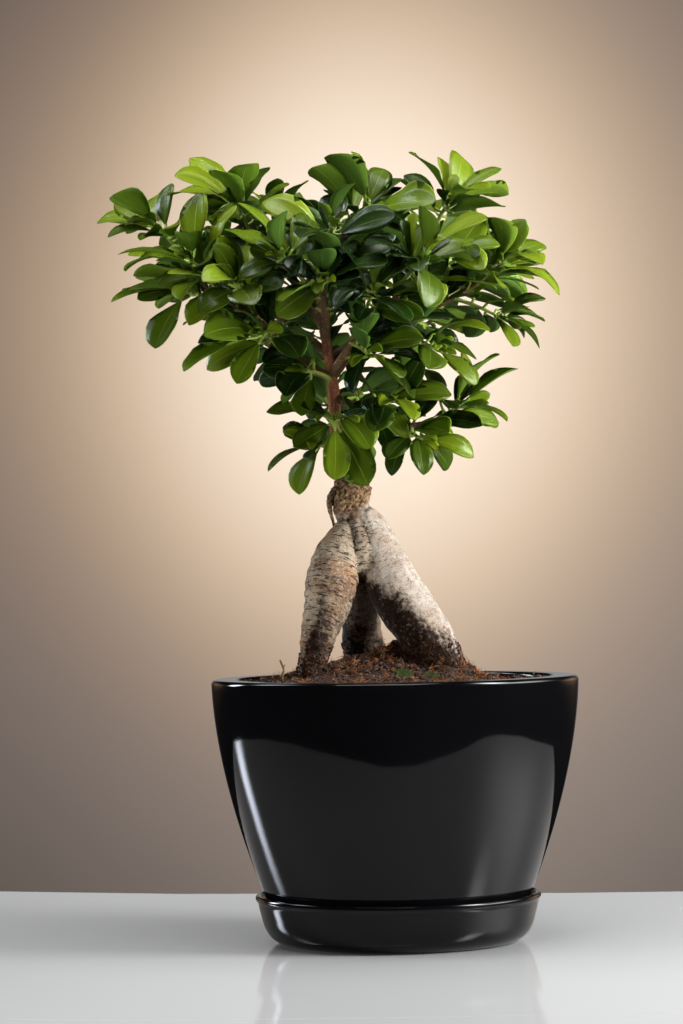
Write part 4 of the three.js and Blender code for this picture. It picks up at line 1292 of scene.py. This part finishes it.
def youth_and_light(place, draw):
    """0 for the old dark leaves in the middle and below, to 1 for fresh ones at the sides and top.
    Besides age it paints shade deep in the crown, below it and round the middle near the top,
    and paints light at the far left.
    """
    gap, left, inner = place - Vector(LEAF["heart"]), YOUTH_AND_LIGHT["left"], YOUTH_AND_LIGHT["inner"]
    height = gap.z if gap.z > 0 else YOUTH_AND_LIGHT["below"] * gap.z
    out = Vector((gap.x, YOUTH_AND_LIGHT["depth"] * gap.y, height)).length
    # Painted shade round the middle near the top.
    amid = clamped(1 - abs(place.x - inner["x"]) / inner["half_width"])
    amid *= clamped((place.z - inner["above"]) / inner["over"])
    # Painted light at the far left.
    leftmost = clamped((left["from"] - place.x) / left["over"])
    grown_out = YOUTH_AND_LIGHT["share"] * (out - YOUTH_AND_LIGHT["from"]) / YOUTH_AND_LIGHT["over"]
    chance = draw.uniform(-YOUTH_AND_LIGHT["by_chance"], YOUTH_AND_LIGHT["by_chance"])
    return clamped(grown_out + left["share"] * leftmost - inner["share"] * amid + chance)


def hang_leaf(growth, draw, leaf, stalk_from, young, fold=0.3, curl=0.06):
    """Adds a leaf's point and its stalk."""
    chord = leaf.tip - leaf.start
    heading = chord.normalized()
    face = (leaf.face - heading * leaf.face.dot(heading)).normalized()
    tone = draw.random() * clamped(0.15 + 1.6 * young)
    growth.point(
        leaf.start, heading=heading, face=face, reach=chord.length * MM, thick=LEAF["thick"] * MM,
        half_width=leaf.half_width * draw.uniform(*LEAF["broader"]) * MM, arch=leaf.arch,
        young=young, tone=tone, curl=draw.uniform(0, 2 * curl), fold=draw.uniform(0.4, 1.6) * fold,
        **{key: draw.uniform(*LEAF[key]) for key in ("wave", "twist", "sway")})
    bend = stalk_from.lerp(leaf.start, STALK["bend_at"])
    bend -= face * STALK["bend"] * (leaf.start - stalk_from).length
    stalk = curve_through([stalk_from, bend, leaf.start, leaf.start + heading * STALK["into"]], 3)
    thick = min(STALK["most"], STALK["share"] * chord.length)
    growth.line(stalk, [mix(STALK["wider"], 1, i / len(stalk)) * thick for i in range(len(stalk))],
                young=mix(STALK["young"], 1, young), tone=tone)


def shoot_line(route):
    """A shoot's stem: from its branch it bends up a little and ends at its tip."""
    on, at, end = route
    start, end = place_at(branch_line(on), at), Vector(end)
    bend = start.lerp(end, 0.5) + Vector((0, 0, SHOOT["rise"] * (end - start).length))
    steps = [i / SHOOT["steps"] for i in range(SHOOT["steps"] + 1)]
    return [(1 - t) ** 2 * start + 2 * t * (1 - t) * bend + t * t * end for t in steps]


def leafy(name, growth, tree, kit):
    return grown(name, growth.mesh("growth"), tree, sides=6, knots=0.3 * MM, knot_size=4 * MM, **kit)


def leafy_spray(name, route, tree, kit):
    """A shoot: its stem, the leaves that its solid has, and young leaves and a bud at its tip."""
    draw = random.Random(name)
    growth, line = Growth(), shoot_line(route)
    radii = [mix(SHOOT["thick"], SHOOT["fine"], i / SHOOT["steps"]) for i in range(len(line))]
    growth.line(line, radii, young=SHOOT["young"])
    for leaf in solid_leaves(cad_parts["shoot_" + name]):
        share = nearest_share(line, leaf.start)
        hang_leaf(growth, draw, leaf, place_at(line, share), youth_and_light(leaf.tip, draw))
    turn = draw.uniform(0, 6)
    for _ in range(OLDER["many"] if line[-1].z > OLDER["few_below"] else OLDER["few"]):
        turn += LEAF["turn"]
        old = sprung_leaf(draw, line, draw.uniform(*OLDER["along"]), turn,
                          draw.uniform(*OLDER["spread"]), draw.uniform(*OLDER["reach"]))
        share = nearest_share(line, old.start)
        if not hides_stem(old):
            hang_leaf(growth, draw, old, place_at(line, share), OLDER["young"] * youth_and_light(old.tip, draw))
    for k in range(TIP["leaves"]):
        turn += LEAF["turn"]
        share, (least, more) = 1 - TIP["back"] * k, TIP["spread"]
        reach = draw.uniform(*TIP["reach"]) + TIP["longer"] * k
        young = sprung_leaf(draw, line, share, turn, least + more * k, reach, TIP["slim"])
        hang_leaf(growth, draw, young, place_at(line, share), draw.uniform(*TIP["young"]),
                  TIP["fold"], TIP["curl"])
    bud = sprung_leaf(draw, line, 1, turn, BUD["spread"], BUD["reach"], BUD["slim"])
    hang_leaf(growth, draw, bud, line[-1], 1, BUD["fold"])
    return settled(leafy("spray_" + name, growth, tree, kit), "foliage", "shoot_" + name)


def inner_leaves(name, tree, kit):
    """Older leaves along a branch, deep in the crown."""
    draw = random.Random("inner " + name)
    growth, line = Growth(), branch_line(name)
    length = sum((b - a).length for a, b in zip(line, line[1:]))
    first = INNER["from"].get(name, INNER["from_else"])
    count = int(length * (1 - first) / INNER["gap"])
    turn = draw.uniform(0, 6)
    for k in range(count):
        turn += LEAF["turn"]
        share = mix(first, INNER["to"], k / count)
        leaf = sprung_leaf(draw, line, share, turn, draw.uniform(*INNER["spread"]),
                           draw.uniform(*INNER["reach"]))
        if not hides_stem(leaf):
            hang_leaf(growth, draw, leaf, place_at(line, share), INNER["young"] * youth_and_light(leaf.tip, draw))
    return settled(leafy("leaves_on_" + name, growth, tree, kit), "foliage")


# ---------------------------------------------------------------- camera, board and lights


def looking(place, aim):
    """The place and turn of a camera or lamp that looks at its aim."""
    place, aim = Vector(place) * MM, Vector(aim) * MM
    return Matrix.Translation(place) @ (aim - place).to_track_quat("-Z", "Y").to_matrix().to_4x4()


def photographer():
    """The camera, where it stood for the photograph."""
    data = bpy.data.cameras.new("camera")
    data.lens, data.sensor_width = CAMERA["lens"], CAMERA["sensor"]
    data.clip_start, data.clip_end = CAMERA["sees"]
    camera = linked("camera", data)
    roll = Matrix.Rotation(math.radians(CAMERA["roll"]), 4, "Z")
    camera.matrix_world = looking(CAMERA["place"], CAMERA["aim"]) @ roll
    bpy.context.scene.camera = camera


def board_outline(steps=60):
    """The board's outline: a rounded front, squarer on its right, and an almost straight back."""
    (middle_x, middle_y), reach = BOARD["middle"], BOARD["reach"]
    for i in range(steps + 1):
        across, ahead = math.cos(math.pi * i / steps), math.sin(math.pi * i / steps)
        power = BOARD["square_right"] if across > 0 else BOARD["square_left"]
        size = reach * (abs(across) ** power + ahead**power) ** (-1 / power)
        yield middle_x + size * across, middle_y - size * ahead
    yield from reversed(BOARD["back"])


def slab(name, outline, top, finish):
    """A flat slab with a given outline, and its top at a height."""
    shape = bmesh.new()
    rings = [[shape.verts.new((x * MM, y * MM, z * MM)) for x, y in outline]
             for z in (top, top - BOARD["thick"])]
    for ring in rings:
        shape.faces.new(ring)
    for i in range(len(rings[0])):
        after = (i + 1) % len(rings[0])
        shape.faces.new((rings[0][i], rings[0][after], rings[1][after], rings[1][i]))
    mesh = mesh_of(name, shape, outwards=True)
    mesh.materials.append(finish)
    piece = linked(name, mesh)
    return piece


def board(finish):
    """The plain pale board that the saucer stands on. Its apron, a hair lower, carries it on
    past the picture's edges, where no reflection shows it."""
    slab("board", list(board_outline()), 0, finish)
    slab("board_apron", BOARD["apron"], BOARD["apron_top"], finish).visible_glossy = False


def studio_room():
    """The room: the camera sees a warm glow behind the plant, again every eighth of the way
    round. Gloss shows the windows, and all else gets a faint even fill."""
    world = bpy.data.worlds.new("room")
    world.use_nodes = True
    bpy.context.scene.world = world
    g = Graph(world.node_tree)
    x, y, z = g.axes(g.node("ShaderNodeTexCoord"))
    around, above = g.math("ARCTAN2", x, y), g.math("ARCSINE", z)

    def window(azimuth, elevation, half_width, half_height, strength, colour):
        across = g.math("ABSOLUTE", around - math.radians(azimuth)) * (1 / math.radians(half_width))
        up = g.math("ABSOLUTE", above - math.radians(elevation)) * (1 / math.radians(half_height))
        soft = g.math("EXPONENT", 0.0 - (across**2.6 + up**3.0))
        return g.scaled(paint(colour)[:3], soft * strength)

    def fading(middle, size, power):
        turn = g.math("SINE", 8.0 * (around - middle[0])) * (0.125 / size[0])
        distance = g.length(g.joined(turn, (z - middle[1]) * (1 / size[1]), 0.0))
        return g.math("EXPONENT", 0.0 - distance**power)

    def shining():
        size = GLOW["reach"], GLOW["reach"] * GLOW["taller"]
        glow = GLOW["bright"] * fading(GLOW["middle"], size, GLOW["power"])
        red, green, blue = (share * glow**power for share, power in GLOW["tint"])
        haze = g.scaled(HAZE["colour"], fading(HAZE["middle"], HAZE["size"], 2.0))
        return g.vector("ADD", g.vector("ADD", g.joined(red, green, blue), haze), GLOW["dark"])

    mirrored = g.joined(*GLOW["fill"])
    for row in WINDOWS:
        mirrored = g.vector("ADD", mirrored, window(*row))
    shown = g.blend(g.math("LESS_THAN", z, GLOW["floor_below"]), shining(), (*GLOW["floor"], 1.0))
    by_camera, by_gloss = g.node("ShaderNodeLightPath"), g.node("ShaderNodeLightPath", out=3)
    lit = g.blend(by_gloss, (*GLOW["fill"], 1.0), mirrored)
    g.feed(world.node_tree.nodes["Background"].inputs["Color"], g.blend(by_camera, lit, shown))


def softbox(name, place, aim, size, power, mirrored):
    data = bpy.data.lights.new(name, "AREA")
    data.shape, data.size, data.size_y = "RECTANGLE", *(side * MM for side in size)
    data.energy = power
    lamp = linked(name, data)
    lamp.visible_camera, lamp.visible_glossy = False, mirrored
    lamp.matrix_world = looking(place, aim)


def lamps():
    """The lamps, and a view that shows their light without a film curve."""
    for name, lamp in LAMPS.items():
        softbox(name, *lamp)
    bpy.context.scene.view_settings.view_transform = "Standard"


# ---------------------------------------------------------------- the whole object


def bonsai():
    """The whole plant in its pot, from the saucer up to the last leaf."""
    glaze = material("glaze_black", black_glaze)
    root, stem = material("bark_root", root_bark), material("bark_stem", stem_bark)
    twig, blade_skin = material("twig_green", green_twig), material("leaf_skin", leaf_blade, 0.28)
    loose = {"crumb": material("peat_crumb", crumb_finish), "fibre": material("peat_fibre", fibre_finish),
             "moss": material("moss_green", moss_finish)}
    thrown_pot(glaze)
    thrown_saucer(glaze)
    soil = soil_bed("soil_bed", material("peat_damp", damp_peat))
    roots = swollen_roots(root)
    loose_peat(soil, roots, loose)
    wood = wood_tree()
    branching_wood(wood, stem)
    fallen_twig(wood, stem)
    bark_curl(root)
    spray, blade = spray_tree(), blade_pattern()
    kit = {"blade": blade, "leaf_finish": blade_skin, "twig_finish": twig}
    for name, route in SHOOTS.items():
        leafy_spray(name, route, spray, kit)
    for name in BRANCHES:
        inner_leaves(name, spray, kit)
    dropped(blade)


photographer()
board(material("board_white", white_board))
studio_room()
lamps()
bonsai()
